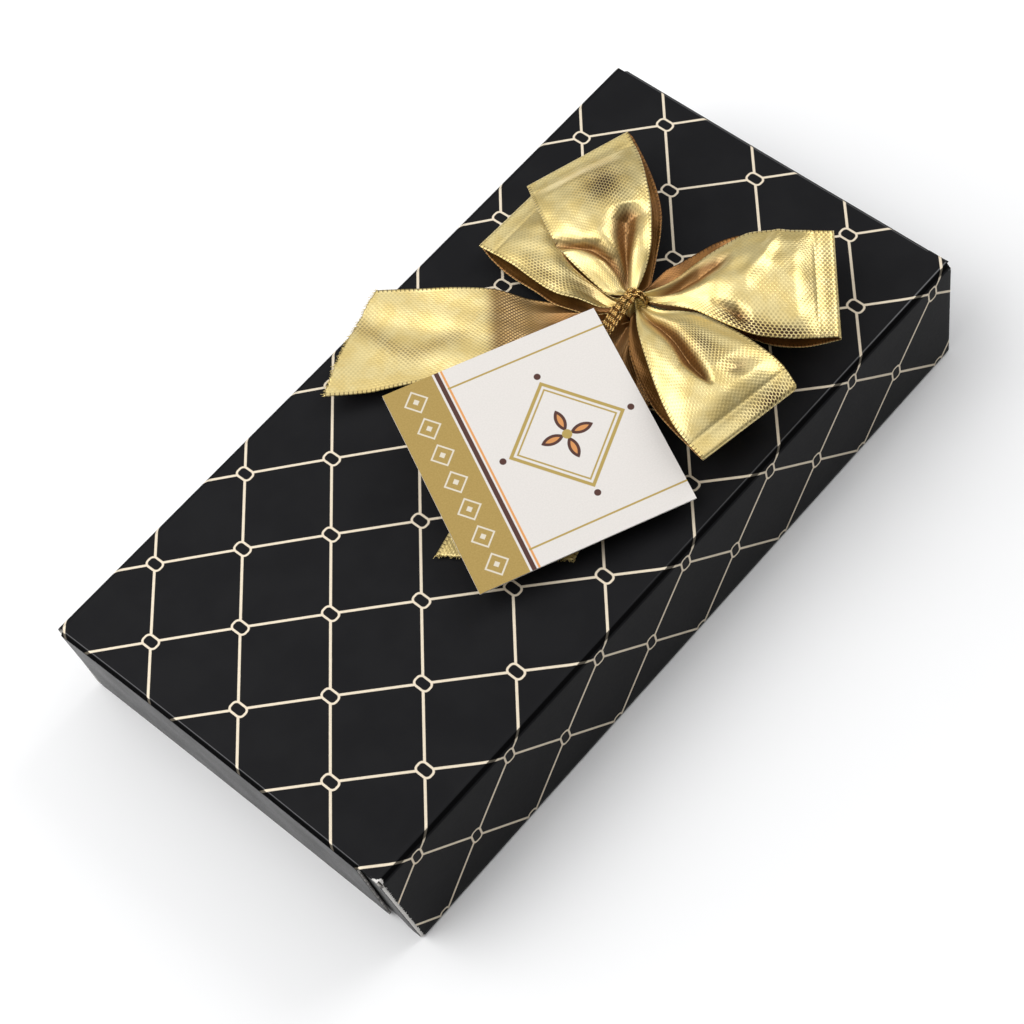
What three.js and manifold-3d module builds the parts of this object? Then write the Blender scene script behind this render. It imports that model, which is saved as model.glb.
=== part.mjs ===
// Box of chocolates: a one-piece hinged-lid folding carton with a thermoformed
// tray of pralines inside, and a four-loop ribbon bow with a square gift card on
// the lid. Millimetres, +Z up. Origin: centre of the box's footprint, on the
// surface it stands on. +X along the length, +Y towards the hinged back edge.

import * as THREE from 'three';
import { mergeVertices } from 'three/addons/utils/BufferGeometryUtils.js';
import Module from 'manifold-3d';

const wasm = await Module();
wasm.setup();

// ---------------------------------------------------------------- dimensions
const BOARD = 0.6;            // carton board
const GAP = 0.3;              // running gap between neighbouring pieces
const TOP_HALF_LEN = 85.3;    // half length over the lid's two end folds
const HALF_WIDTH = 43.9;      // half width over the front skirt and the back wall
const LID_Z = 26.4;           // top face of the lid at its front and back folds
const CROWN = 1.7;            // rise of the lid panel's middle line
const SKIRT_BOTTOM = 0.8;     // lower edge of the lid's skirts
const SKIRT_LEAN = 2.7;       // how far the end skirts lean inwards at the bottom
const END_SKIRT_FRONT = -37.2; // front cut edge of the end skirts
const BASE_HALF_LEN = 80.5;   // half length of the base over its end walls
const BASE_WALL_TOP = 24.6;
const BACK_WALL_TOP = 25.2;

const COLS = 6, ROWS = 3;     // praline layout
const PITCH_X = 25.6, PITCH_Y = 26.4;
const TRAY_Y0 = 0.5;          // tray centre across the width
const TRAY_TOP = 18.4, TRAY_WALL = 0.6;
const POCKET_FLOOR = 4.0;     // underside of a pocket
const POCKET_TOP_W = 23.0, POCKET_BOTTOM_W = 20.8;
const PAD_BOTTOM = 21.2, PAD_TOP = 25.2;  // cushion pad glued inside the lid

const KNOT = new THREE.Vector3(36.0, -3.0, 0);  // plan position of the bow's knot
const RIBBON = 25;            // ribbon width
const RIBBON_T = 0.8;         // ribbon body thickness with its pleats
const ROOT = 3.8;             // radius where loops and tails start
const TAG = 45.4;             // side of the square card
const TAG_T = 0.5;

// ------------------------------------------------------------------- helpers
const root = new THREE.Group();
const V = (x, y, z) => new THREE.Vector3(x, y, z);
const MAT = {
  board: [0x1d1d1f, 0.45, 0.0], inner: [0xe9e4da, 0.8, 0.0], tray: [0x8a6a35, 0.35, 0.2],
  pad: [0xd9c9a0, 0.85, 0.0], dark: [0x2c1710, 0.35, 0.0], milk: [0x5a2d18, 0.35, 0.0],
  white: [0xe8dcb4, 0.4, 0.0], ribbon: [0xc9a24a, 0.3, 0.8], card: [0xefe9e2, 0.6, 0.0],
  glue: [0xe6e2d6, 0.6, 0.0],
};

function add(name, geometry, key) {
  const g = geometry.clone();
  const [color, roughness, metalness] = MAT[key];
  const mesh = new THREE.Mesh(g, new THREE.MeshStandardMaterial({ color, roughness, metalness }));
  mesh.name = name;
  root.add(mesh);
  return mesh;
}

// Signed volume of an indexed triangle list, to turn a solid's faces outwards.
function signedVolume(pos, idx) {
  let v = 0;
  for (let i = 0; i < idx.length; i += 3) {
    const a = pos[idx[i]], b = pos[idx[i + 1]], c = pos[idx[i + 2]];
    v += a.dot(new THREE.Vector3().crossVectors(b, c)) / 6;
  }
  return v;
}

function solid(points, triangles) {
  if (signedVolume(points, triangles) < 0) {
    for (let i = 0; i < triangles.length; i += 3) {
      [triangles[i + 1], triangles[i + 2]] = [triangles[i + 2], triangles[i + 1]];
    }
  }
  const g = new THREE.BufferGeometry();
  g.setAttribute('position', new THREE.Float32BufferAttribute(points.flatMap((p) => [p.x, p.y, p.z]), 3));
  g.setIndex(triangles);
  return g;
}

// Closed solid lofted through sections with the same number of points.
function loft(sections) {
  const k = sections[0].length, n = sections.length, points = sections.flat(), tri = [];
  for (let s = 0; s + 1 < n; s++) {
    for (let i = 0; i < k; i++) {
      const a = s * k + i, b = s * k + (i + 1) % k, c = a + k, d = b + k;
      tri.push(a, b, d, a, d, c);
    }
  }
  for (let i = 1; i + 1 < k; i++) {
    tri.push(0, i + 1, i);
    tri.push((n - 1) * k, (n - 1) * k + i, (n - 1) * k + i + 1);
  }
  return solid(points, tri);
}

// Upright plate whose outline in one plane is a four-point polygon.
function slab(x0, x1, y0, y1, z0, z1) {
  return loft([z0, z1].map((z) => [V(x0, y0, z), V(x1, y0, z), V(x1, y1, z), V(x0, y1, z)]));
}

function toManifold(g) {
  const m = mergeVertices(g, 1e-5);
  return new wasm.Manifold(new wasm.Mesh({
    numProp: 3,
    vertProperties: new Float32Array(m.attributes.position.array),
    triVerts: new Uint32Array(m.index.array),
  }));
}

function fromManifold(man) {
  const m = man.getMesh(), points = [];
  for (let i = 0; i < m.vertProperties.length; i += m.numProp) {
    points.push(V(m.vertProperties[i], m.vertProperties[i + 1], m.vertProperties[i + 2]));
  }
  return solid(points, Array.from(m.triVerts));
}

// The lid panel is crowned across its width; the crown runs out towards the right end.
const lidTop = (y, x = 0) => LID_Z + CROWN * Math.max(0, 1 - ((y - 0.3) / 42.7) ** 2)
  * (1 - THREE.MathUtils.smoothstep(x, 46, 86));
const lean = (z) => SKIRT_LEAN * (26.2 - z) / (26.2 - SKIRT_BOTTOM);
const span = (a, b, n) => Array.from({ length: n + 1 }, (_, i) => a + (b - a) * i / n);

// ------------------------------------------------------------- carton: base
add('base_bottom', slab(-79.6, 79.6, -41.4, 43.0, 0, BOARD), 'board');
add('base_front_wall', slab(-BASE_HALF_LEN, BASE_HALF_LEN, -42.3, -41.7, 0, BASE_WALL_TOP), 'board');
add('base_back_wall', loft([[82.8, 0], [85.0, BACK_WALL_TOP]].map(([h, z]) => [
  V(-h, HALF_WIDTH - BOARD, z), V(h, HALF_WIDTH - BOARD, z), V(h, HALF_WIDTH, z), V(-h, HALF_WIDTH, z)])), 'board');
for (const [side, s] of [['left', -1], ['right', 1]]) {
  const a = s * (BASE_HALF_LEN - BOARD), b = s * BASE_HALF_LEN;
  add(`base_end_wall_${side}`, slab(Math.min(a, b), Math.max(a, b), -41.4, 43.0, 0, BASE_WALL_TOP), 'board');
  const c = s * 79.0, d = s * 79.6;
  add(`base_corner_tab_front_${side}`, slab(Math.min(c, d), Math.max(c, d), -41.4, -24, 0.9, 22), 'board');
  add(`base_corner_tab_back_${side}`, slab(Math.min(c, d), Math.max(c, d), 25, 43.0, 0.9, 22), 'board');
}

// -------------------------------------------------------------- carton: lid
add('lid_top_panel', loft(span(-43.0, HALF_WIDTH, 16).map((y) => {
  const xs = [-84.4, 46, 56, 66, 76, 84.4];
  return [...xs.map((x) => V(x, y, lidTop(y, x) - BOARD)), ...xs.reverse().map((x) => V(x, y, lidTop(y, x)))];
})), 'board');
add('lid_front_skirt', loft([[83.0, SKIRT_BOTTOM], [85.2, 26.2]].map(([h, z]) => [
  V(-h, -HALF_WIDTH, z), V(h, -HALF_WIDTH, z), V(h, -HALF_WIDTH + BOARD, z), V(-h, -HALF_WIDTH + BOARD, z)])), 'board');
for (const [side, s] of [['left', -1], ['right', 1]]) {
  add(`lid_end_skirt_${side}`, loft(span(END_SKIRT_FRONT, 42.9, 12).map((y) => {
    const zt = lidTop(y, s * 84.4) - 0.2, o = (z) => s * (TOP_HALF_LEN - lean(z));
    return [V(o(zt), y, zt), V(o(zt) - s * BOARD, y, zt),
      V(o(SKIRT_BOTTOM) - s * BOARD, y, SKIRT_BOTTOM), V(o(SKIRT_BOTTOM), y, SKIRT_BOTTOM)];
  })), 'board');
  add(`lid_corner_tab_${side}`, loft([0.9, 24.9].map((z) => {
    const o = s * (TOP_HALF_LEN - BOARD - GAP - lean(z)), i = o - s * BOARD;
    return [V(o, -43.0, z), V(o, -24, z), V(i, -24, z), V(i, -43.0, z)];
  })), 'board');
}

// ------------------------------------------------ tray, pralines, cushion pad
// Rounded-square, round, oval or six-sided outline of unit half width.
function outline(kind, n = 20) {
  return Array.from({ length: n }, (_, i) => {
    const t = (i + 0.5) / n * 2 * Math.PI, c = Math.cos(t), s = Math.sin(t);
    if (kind === 'round') return [c, s];
    if (kind === 'oval') return [c * 0.82, s];
    if (kind === 'hex') {
      const w = Math.PI / 3, r = Math.cos(w / 2) / Math.cos(((t % w) + w) % w - w / 2);
      return [c * r, s * r];
    }
    const e = 2 / 5;
    return [Math.sign(c) * Math.abs(c) ** e, Math.sign(s) * Math.abs(s) ** e];
  });
}

function stack(kind, x, y, layers, n) {
  const o = outline(kind, n);
  return loft(layers.map(([z, h]) => o.map(([a, b]) => V(x + a * h, y + b * h, z))));
}

const cells = [];
for (let r = 0; r < ROWS; r++) {
  for (let c = 0; c < COLS; c++) {
    cells.push({ r, c, x: (c - (COLS - 1) / 2) * PITCH_X, y: TRAY_Y0 + (r - (ROWS - 1) / 2) * PITCH_Y });
  }
}

// One thin sheet: a top web with a turned-down rim and a cup under each cell.
let tray = toManifold(slab(-78.4, 78.4, TRAY_Y0 - 40.9, TRAY_Y0 + 40.9, TRAY_TOP - TRAY_WALL, TRAY_TOP));
tray = tray.add(toManifold(slab(-78.4, 78.4, TRAY_Y0 - 40.9, TRAY_Y0 + 40.9, 0.9, TRAY_TOP - TRAY_WALL))
  .subtract(toManifold(slab(-77.8, 77.8, TRAY_Y0 - 40.3, TRAY_Y0 + 40.3, 0.5, TRAY_TOP - TRAY_WALL / 2))));
for (const { x, y } of cells) {
  tray = tray.add(toManifold(stack('square', x, y, [
    [POCKET_FLOOR, POCKET_BOTTOM_W / 2 + TRAY_WALL], [TRAY_TOP - TRAY_WALL / 2, POCKET_TOP_W / 2 + TRAY_WALL]], 16)));
}
for (const { x, y } of cells) {
  tray = tray.subtract(toManifold(stack('square', x, y, [
    [POCKET_FLOOR + TRAY_WALL, POCKET_BOTTOM_W / 2], [TRAY_TOP + 1, POCKET_TOP_W / 2 + 0.08]], 16)));
}
add('praline_tray', fromManifold(tray), 'tray');

// Six moulded kinds, one per column; the rows shift the order.
const Z0 = POCKET_FLOOR + TRAY_WALL + GAP;
const KINDS = [
  ['round', 'dark', [[0, 8.6], [1, 9.3], [6, 9.3], [10, 8.1], [13, 5.6], [14.6, 2.4]]],
  ['square', 'milk', [[0, 8.6], [1, 9.1], [9, 8.6], [11.5, 7.6], [12.6, 5.8]]],
  ['oval', 'milk', [[0, 9.0], [1, 9.8], [6, 9.5], [10, 7.6], [12.4, 4.4], [13.2, 1.6]]],
  ['round', 'white', [[0, 8.4], [1, 9.2], [5, 9.0], [8, 7.6], [11, 5.4], [13.6, 2.8], [15.2, 0.8]]],
  ['hex', 'dark', [[0, 9.2], [1, 9.9], [8, 9.2], [11, 8.0], [12.4, 5.2]]],
  ['square', 'dark', [[0, 8.4], [1, 9.0], [7, 8.8], [10, 7.2], [12.4, 4.2], [13.4, 1.6]]],
];
for (const { r, c, x, y } of cells) {
  const [kind, key, layers] = KINDS[(c + 2 * r) % KINDS.length];
  add(`praline_r${r + 1}c${c + 1}`, stack(kind, x, y, layers.map(([z, h]) => [Z0 + z, h]), 18), key);
}
add('cushion_pad', slab(-78.2, 78.2, TRAY_Y0 - 40.4, TRAY_Y0 + 40.4, PAD_BOTTOM, PAD_TOP), 'pad');

// ------------------------------------------------------------------------ bow
// A band of ribbon along a path in an upright plane through the knot. path holds
// [distance from the knot, height]; slant shears the free end's cut.
function band(deg, path, steps, slant = 0) {
  const a = THREE.MathUtils.degToRad(deg);
  const eu = V(Math.cos(a), Math.sin(a), 0), es = V(-Math.sin(a), Math.cos(a), 0);
  const curve = new THREE.SplineCurve(path.map(([u, z]) => new THREE.Vector2(u, z)));
  const sections = [];
  for (let i = 0; i <= steps; i++) {
    const t = i / steps, p = curve.getPoint(t), d = curve.getTangent(t);
    const hw = Math.min(RIBBON / 2, 0.5 * p.x - 0.5);
    const n = V(0, 0, 0).addScaledVector(eu, -d.y).addScaledVector(V(0, 0, 1), d.x).multiplyScalar(RIBBON_T / 2);
    const c = V(KNOT.x, KNOT.y, p.y).addScaledVector(eu, p.x);
    const side = es.clone().addScaledVector(eu, slant * t * t).multiplyScalar(hw);
    sections.push([c.clone().add(side).add(n), c.clone().add(side).sub(n), c.clone().sub(side).sub(n), c.clone().sub(side).add(n)]);
  }
  return loft(sections);
}

// Loop: out along the lower layer, round the end fold, back over the crest.
const LOOPS = [
  ['bow_loop_back_right', 58.5, 37.8, 34.8, 35.0, 34.7, 41.6, 37.4],
  ['bow_loop_back_left', 79.9, 37.4, 30.2, 29.4, 29.2, 33.2, 32.0],
  ['bow_loop_front_right', -47.5, 39.1, 31.2, 30.4, 33.0, 40.6, 35.6],
  ['bow_loop_front_left', -103.2, 36.2, 31.2, 30.4, 32.2, 40.0, 35.6],
];
for (const [name, deg, len, z0, zm, ze, crest, z1] of LOOPS) {
  const fold = Math.min(4, crest - ze - 0.6), h = fold / 2;
  add(name, band(deg, [
    [ROOT, z0], [len * 0.35, zm], [len * 0.7, (zm + ze) / 2], [len - h - 0.4, ze], [len - 0.4, ze + h],
    [len - h - 0.4, ze + fold], [len * 0.72, ze + fold + (crest - ze - fold) * 0.55], [len * 0.45, crest], [ROOT, z1],
  ], 30), 'ribbon');
}
add('bow_tail_left', band(133.6, [[ROOT, 31.4], [14, 29.4], [26, 28.9], [40, 29.4], [50, 30.6], [57.2, 31.6]], 16, 0.44), 'ribbon');
add('bow_tail_front', band(193.7, [[ROOT, 31.2], [13, 29.2], [24, 28.75], [38, 28.7], [58.2, 28.7]], 14, -0.40), 'ribbon');

// Gathered centre, the cord bound round it, and the adhesive pad underneath.
const circle = (n, r, z, rx = 1) => Array.from({ length: n }, (_, i) => {
  const t = i / n * 2 * Math.PI;
  return V(KNOT.x + rx * r * Math.cos(t), KNOT.y + r * Math.sin(t), z);
});
add('bow_knot', loft([[32.1, 0.9], [32.9, 1.6], [34.4, 2.0], [36.8, 2.0], [38.3, 1.6], [39.1, 0.9]]
  .map(([z, r]) => circle(14, r, z))), 'ribbon');
const ring = mergeVertices(new THREE.TorusGeometry(1, 0.15, 8, 28).deleteAttribute('normal').deleteAttribute('uv'), 1e-5);
{
  // Upright ring round the knot: half axes 2.75 and 4.9 mm, 0.9 mm cord.
  const a = THREE.MathUtils.degToRad(110), p = ring.attributes.position;
  for (let i = 0; i < p.count; i++) {
    const q = V(p.getX(i), p.getY(i), p.getZ(i)), m = Math.hypot(q.x, q.y), cx = q.x / m, cy = q.y / m;
    const u = cx * (2.75 + (m - 1) * 3), z = cy * (4.9 + (m - 1) * 3), s = q.z * 3;
    p.setXYZ(i, KNOT.x + u * Math.cos(a) - s * Math.sin(a), KNOT.y + u * Math.sin(a) + s * Math.cos(a), 35.6 + z);
  }
}
{
  const p = ring.attributes.position, points = [];
  for (let i = 0; i < p.count; i++) points.push(V(p.getX(i), p.getY(i), p.getZ(i)));
  add('bow_tie_cord', solid(points, Array.from(ring.index.array)), 'ribbon');
}
add('bow_adhesive_pad', loft([28.5, 29.15].map((z) => circle(16, 6, z))), 'glue');

// ------------------------------------------------------------------ gift card
// A square card held under the knot by one corner, sloping down to the front left.
const tagCentre = V(-0.7, -9.06, 35.68);
const t1 = V(-0.9123, 0.4073, 0.0441).normalize();
const t2 = V(-0.4089, -0.8991, -0.1562).addScaledVector(t1, -V(-0.4089, -0.8991, -0.1562).dot(t1)).normalize();
const tn = V(0, 0, 0).crossVectors(t1, t2).normalize();
const onTag = (a, b, h) => tagCentre.clone().addScaledVector(t1, a).addScaledVector(t2, b).addScaledVector(tn, h);
const H = TAG / 2;
add('tag_card', loft([-TAG_T / 2, TAG_T / 2].map((h) => [onTag(-H, -H, h), onTag(H, -H, h), onTag(H, H, h), onTag(-H, H, h)])), 'card');
// Short cord glued to the card's back that ties it to the knot.
add('tag_cord', loft(span(-H + 3.2, -H + 12, 4).map((d) => Array.from({ length: 8 }, (_, i) => {
  const w = i / 8 * 2 * Math.PI;
  const side = t2.clone().sub(t1).multiplyScalar(Math.SQRT1_2);
  return onTag(d, d, -TAG_T / 2 - 0.8).addScaledVector(side, 0.5 * Math.cos(w)).addScaledVector(tn, 0.5 * Math.sin(w));
}))), 'ribbon');

export default root;
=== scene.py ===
# Looks of the box of chocolates: printed folding carton, metallic ribbon bow with a
# gift card on the lid, and a tray of pralines inside. Sizes in this file are
# millimetres unless a name says otherwise; meshes are made in metres.
import math

import bpy
import numpy as np
from mathutils import Matrix, Vector


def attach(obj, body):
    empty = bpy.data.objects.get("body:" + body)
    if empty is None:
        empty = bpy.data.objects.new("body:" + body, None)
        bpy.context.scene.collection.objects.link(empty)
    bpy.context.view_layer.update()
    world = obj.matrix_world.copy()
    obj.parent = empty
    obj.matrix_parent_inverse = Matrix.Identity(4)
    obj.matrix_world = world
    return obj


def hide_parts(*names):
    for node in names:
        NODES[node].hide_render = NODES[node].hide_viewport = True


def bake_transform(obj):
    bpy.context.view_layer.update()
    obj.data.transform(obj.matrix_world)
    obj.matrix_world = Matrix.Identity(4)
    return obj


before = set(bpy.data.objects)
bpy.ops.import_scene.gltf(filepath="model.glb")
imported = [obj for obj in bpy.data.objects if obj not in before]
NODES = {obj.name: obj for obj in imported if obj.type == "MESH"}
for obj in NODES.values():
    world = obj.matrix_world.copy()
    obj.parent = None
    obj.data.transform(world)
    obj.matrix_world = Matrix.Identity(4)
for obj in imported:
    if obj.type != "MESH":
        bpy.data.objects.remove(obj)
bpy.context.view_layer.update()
S = 0.001
RNG = np.random.default_rng(7)


# ------------------------------------------------------------------ mesh helpers
def grid_faces(nu, nv, offset=0):
    i, j = np.meshgrid(np.arange(nu - 1), np.arange(nv - 1), indexing="ij")
    a = (i * nv + j + offset).ravel()
    return np.stack([a, a + 1, a + nv + 1, a + nv], 1)


def oriented(verts, faces, direction):
    """Faces turned so that their average normal follows direction."""
    v = np.asarray(verts, float)
    n = np.cross(v[faces[:, 1]] - v[faces[:, 0]], v[faces[:, 3]] - v[faces[:, 0]])
    return faces if (n @ np.asarray(direction, float)).sum() > 0 else faces[:, ::-1]


class Sheet:
    """Panels gathered into one welded mesh, each vertex with flat (printed) coordinates and masks."""

    def __init__(self):
        self.v, self.f, self.flat, self.masks, self.slots = [], [], [], [], []
        self.count = 0

    def add(self, verts, faces, flat, masks, direction, slots=0):
        verts = np.asarray(verts, float).reshape(-1, 3)
        self.slots.append(np.broadcast_to(np.asarray(slots, np.int32), len(faces)))
        faces = oriented(verts, faces, direction)
        self.v.append(verts)
        self.flat.append(np.asarray(flat, float).reshape(-1, 2))
        masks = np.asarray(masks, float).reshape(len(verts), -1)
        self.masks.append(np.hstack([masks, np.zeros((len(verts), 3 - masks.shape[1]))]))
        self.f.append(faces + self.count)
        self.count += len(verts)

    def build(self, name, mask_names):
        v, flat, masks = np.vstack(self.v), np.vstack(self.flat), np.vstack(self.masks)
        f = np.vstack(self.f)
        _, first, inverse = np.unique(np.round(v, 3), axis=0, return_index=True, return_inverse=True)
        inverse = inverse.ravel()
        f = inverse[f]
        keep = np.array([len(set(q)) == 4 for q in f.tolist()])
        ob = make(name, v[first], f[keep], flat=flat[first],
                  floats={n: masks[first][:, k] for k, n in enumerate(mask_names)})
        ob.data.polygons.foreach_set("material_index", np.concatenate(self.slots)[keep])
        return ob


def make(name, verts, faces, flat=None, floats=None, smooth=True):
    me = bpy.data.meshes.new(name)
    me.from_pydata((np.asarray(verts, float) * S).tolist(), [], [list(map(int, q)) for q in faces])
    if flat is not None:
        a = me.attributes.new("flat", "FLOAT_VECTOR", "POINT")
        w = np.zeros((len(me.vertices), 3), np.float32)
        w[:, :2] = flat
        a.data.foreach_set("vector", w.ravel())
    for key, values in (floats or {}).items():
        a = me.attributes.new(key, "FLOAT", "POINT")
        a.data.foreach_set("value", np.asarray(values, np.float32))
    me.polygons.foreach_set("use_smooth", [smooth] * len(me.polygons))
    me.update()
    ob = bpy.data.objects.new(name, me)
    bpy.context.scene.collection.objects.link(ob)
    return ob


def solidify(ob, thickness, offset=-1.0, inner=0, rim=0):
    m = ob.modifiers.new("thickness", "SOLIDIFY")
    m.thickness = thickness * S
    m.offset = offset
    m.use_even_offset = False
    m.material_offset = inner
    m.material_offset_rim = rim
    return m


def apply_modifiers(ob):
    dg = bpy.context.evaluated_depsgraph_get()
    me = bpy.data.meshes.new_from_object(ob.evaluated_get(dg))
    ob.modifiers.clear()
    ob.data = me
    return ob


def smoothstep(a, b, x):
    t = np.clip((np.asarray(x, float) - a) / (b - a), 0, 1)
    return t * t * (3 - 2 * t)


def curve(xs, ys, x):
    """Smooth interpolation through points (monotone cubic)."""
    xs, ys, x = np.asarray(xs, float), np.asarray(ys, float), np.asarray(x, float)
    h = np.diff(xs)
    d = np.diff(ys) / h
    m = np.zeros(len(xs))
    m[0], m[-1] = d[0], d[-1]
    for k in range(1, len(xs) - 1):
        if d[k - 1] * d[k] > 0:
            w1, w2 = 2 * h[k] + h[k - 1], h[k] + 2 * h[k - 1]
            m[k] = (w1 + w2) / (w1 / d[k - 1] + w2 / d[k])
    x = np.clip(x, xs[0], xs[-1])
    k = np.clip(np.searchsorted(xs, x, side="right") - 1, 0, len(xs) - 2)
    t = (x - xs[k]) / h[k]
    return ((1 + 2 * t) * (1 - t) ** 2 * ys[k] + t * (1 - t) ** 2 * h[k] * m[k]
            + t * t * (3 - 2 * t) * ys[k + 1] + t * t * (t - 1) * h[k] * m[k + 1])


def tube(points, radius, sides=10, closed=False):
    p = np.asarray(points, float)
    n = len(p)
    if closed:
        t = np.roll(p, -1, 0) - np.roll(p, 1, 0)
    else:
        t = np.gradient(p, axis=0)
    t /= np.linalg.norm(t, axis=1)[:, None]
    ref = np.cross(t[0], [0.3, 0.5, 0.8])
    ref /= np.linalg.norm(ref)
    normals = []
    for k in range(n):
        ref = ref - t[k] * (ref @ t[k])
        ref /= np.linalg.norm(ref)
        normals.append(ref.copy())
    nn = np.array(normals)
    bb = np.cross(t, nn)
    a = np.arange(sides) / sides * 2 * math.pi
    r = np.broadcast_to(np.asarray(radius, float), (n,))
    v = p[:, None] + r[:, None, None] * (np.cos(a)[None, :, None] * nn[:, None] + np.sin(a)[None, :, None] * bb[:, None])
    faces = []
    last = n if closed else n - 1
    for k in range(last):
        k2 = (k + 1) % n
        for j in range(sides):
            j2 = (j + 1) % sides
            faces.append([k * sides + j, k * sides + j2, k2 * sides + j2, k2 * sides + j])
    if not closed:
        faces.append(list(range(sides))[::-1])
        faces.append([(n - 1) * sides + j for j in range(sides)])
    s = np.concatenate([[0], np.cumsum(np.linalg.norm(np.diff(p, axis=0), axis=1))])
    flat = np.stack([np.repeat(s, sides), np.tile(a, n)], 1)
    return v.reshape(-1, 3), faces, flat, nn, bb


def joined(name, parts):
    v, f, fl, count = [], [], [], 0
    for verts, faces, flat in parts:
        v.append(verts)
        fl.append(flat)
        f += [[i + count for i in q] for q in faces]
        count += len(verts)
    return make(name, np.vstack(v), f, flat=np.vstack(fl))


# -------------------------------------------------------------- material helpers
class Ex:
    """A value in a node tree, with arithmetic that makes Math nodes."""

    def __init__(self, nt, socket):
        self.nt, self.socket = nt, socket

    def op(self, name, *others):
        n = self.nt.nodes.new("ShaderNodeMath")
        n.operation = name
        for k, a in enumerate((self,) + others):
            if isinstance(a, Ex):
                self.nt.links.new(a.socket, n.inputs[k])
            else:
                n.inputs[k].default_value = float(a)
        return Ex(self.nt, n.outputs[0])

    def __add__(self, o): return self.op("ADD", o)
    def __radd__(self, o): return self.op("ADD", o)
    def __sub__(self, o): return self.op("SUBTRACT", o)
    def __rsub__(self, o): return self.op("MULTIPLY", -1.0).op("ADD", o)
    def __mul__(self, o): return self.op("MULTIPLY", o)
    def __rmul__(self, o): return self.op("MULTIPLY", o)
    def __truediv__(self, o): return self.op("DIVIDE", o)
    def __neg__(self): return self.op("MULTIPLY", -1.0)
    def abs(self): return self.op("ABSOLUTE")
    def min(self, o): return self.op("MINIMUM", o)
    def max(self, o): return self.op("MAXIMUM", o)
    def fract(self): return self.op("FRACT")
    def floor(self): return self.op("FLOOR")
    def round(self): return self.op("ROUND")
    def sin(self): return self.op("SINE")
    def cos(self): return self.op("COSINE")
    def sqrt(self): return self.op("SQRT")
    def pow(self, o): return self.op("POWER", o)

    def ramp(self, a, b, lo=0.0, hi=1.0):
        """Smooth step from lo at a to hi at b."""
        n = self.nt.nodes.new("ShaderNodeMapRange")
        n.interpolation_type = "SMOOTHSTEP"
        if a > b:
            a, b, lo, hi = b, a, hi, lo
        self.nt.links.new(self.socket, n.inputs[0])
        for k, x in enumerate((a, b, lo, hi), 1):
            n.inputs[k].default_value = x
        return Ex(self.nt, n.outputs[0])


def length(x, y):
    return (x * x + y * y).sqrt()


class Mat:
    def __init__(self, name, color=(0.5, 0.5, 0.5), rough=0.5, metal=0.0, spec=None, **more):
        self.m = bpy.data.materials.new(name)
        self.m.use_nodes = True
        self.nt = self.m.node_tree
        self.b = next(n for n in self.nt.nodes if n.type == "BSDF_PRINCIPLED")
        self.set("Base Color", (*color, 1.0))
        self.set("Roughness", rough)
        self.set("Metallic", metal)
        if spec is not None:
            self.set("Specular IOR Level", spec)
        for key, value in more.items():
            self.set(key.replace("_", " "), value)
        self.m.diffuse_color = (*color, 1.0)

    def set(self, name, value):
        self.b.inputs[name].default_value = value

    def link(self, name, value):
        self.nt.links.new(value.socket if isinstance(value, Ex) else value, self.b.inputs[name])

    def attr(self, name):
        n = self.nt.nodes.new("ShaderNodeAttribute")
        n.attribute_name = name
        return n

    def flat(self, name="flat"):
        n = self.attr(name)
        s = self.nt.nodes.new("ShaderNodeSeparateXYZ")
        self.nt.links.new(n.outputs["Vector"], s.inputs[0])
        return Ex(self.nt, s.outputs[0]), Ex(self.nt, s.outputs[1]), n.outputs["Vector"]

    def value(self, name):
        return Ex(self.nt, self.attr(name).outputs["Fac"])

    def obj(self):
        n = self.nt.nodes.new("ShaderNodeTexCoord")
        s = self.nt.nodes.new("ShaderNodeSeparateXYZ")
        self.nt.links.new(n.outputs["Object"], s.inputs[0])
        return [Ex(self.nt, o) for o in s.outputs] + [n.outputs["Object"]]

    def noise(self, vector, scale, detail=3.0, rough=0.55):
        n = self.nt.nodes.new("ShaderNodeTexNoise")
        n.inputs["Scale"].default_value = scale
        n.inputs["Detail"].default_value = detail
        n.inputs["Roughness"].default_value = rough
        self.nt.links.new(vector, n.inputs["Vector"])
        return Ex(self.nt, n.outputs[0])

    def mix(self, fac, a, b):
        n = self.nt.nodes.new("ShaderNodeMix")
        n.data_type = "RGBA"
        n.clamp_factor = True
        self.nt.links.new(fac.socket, n.inputs[0])
        for k, c in ((6, a), (7, b)):
            if isinstance(c, tuple):
                n.inputs[k].default_value = (*c, 1.0)
            else:
                self.nt.links.new(c, n.inputs[k])
        return n.outputs[2]

    def bump(self, height, distance_mm, strength=1.0, normal=None):
        n = self.nt.nodes.new("ShaderNodeBump")
        n.inputs["Strength"].default_value = strength
        n.inputs["Distance"].default_value = distance_mm * S
        self.nt.links.new(height.socket, n.inputs["Height"])
        if normal is not None:
            self.nt.links.new(normal, n.inputs["Normal"])
        return n.outputs[0]


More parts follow.
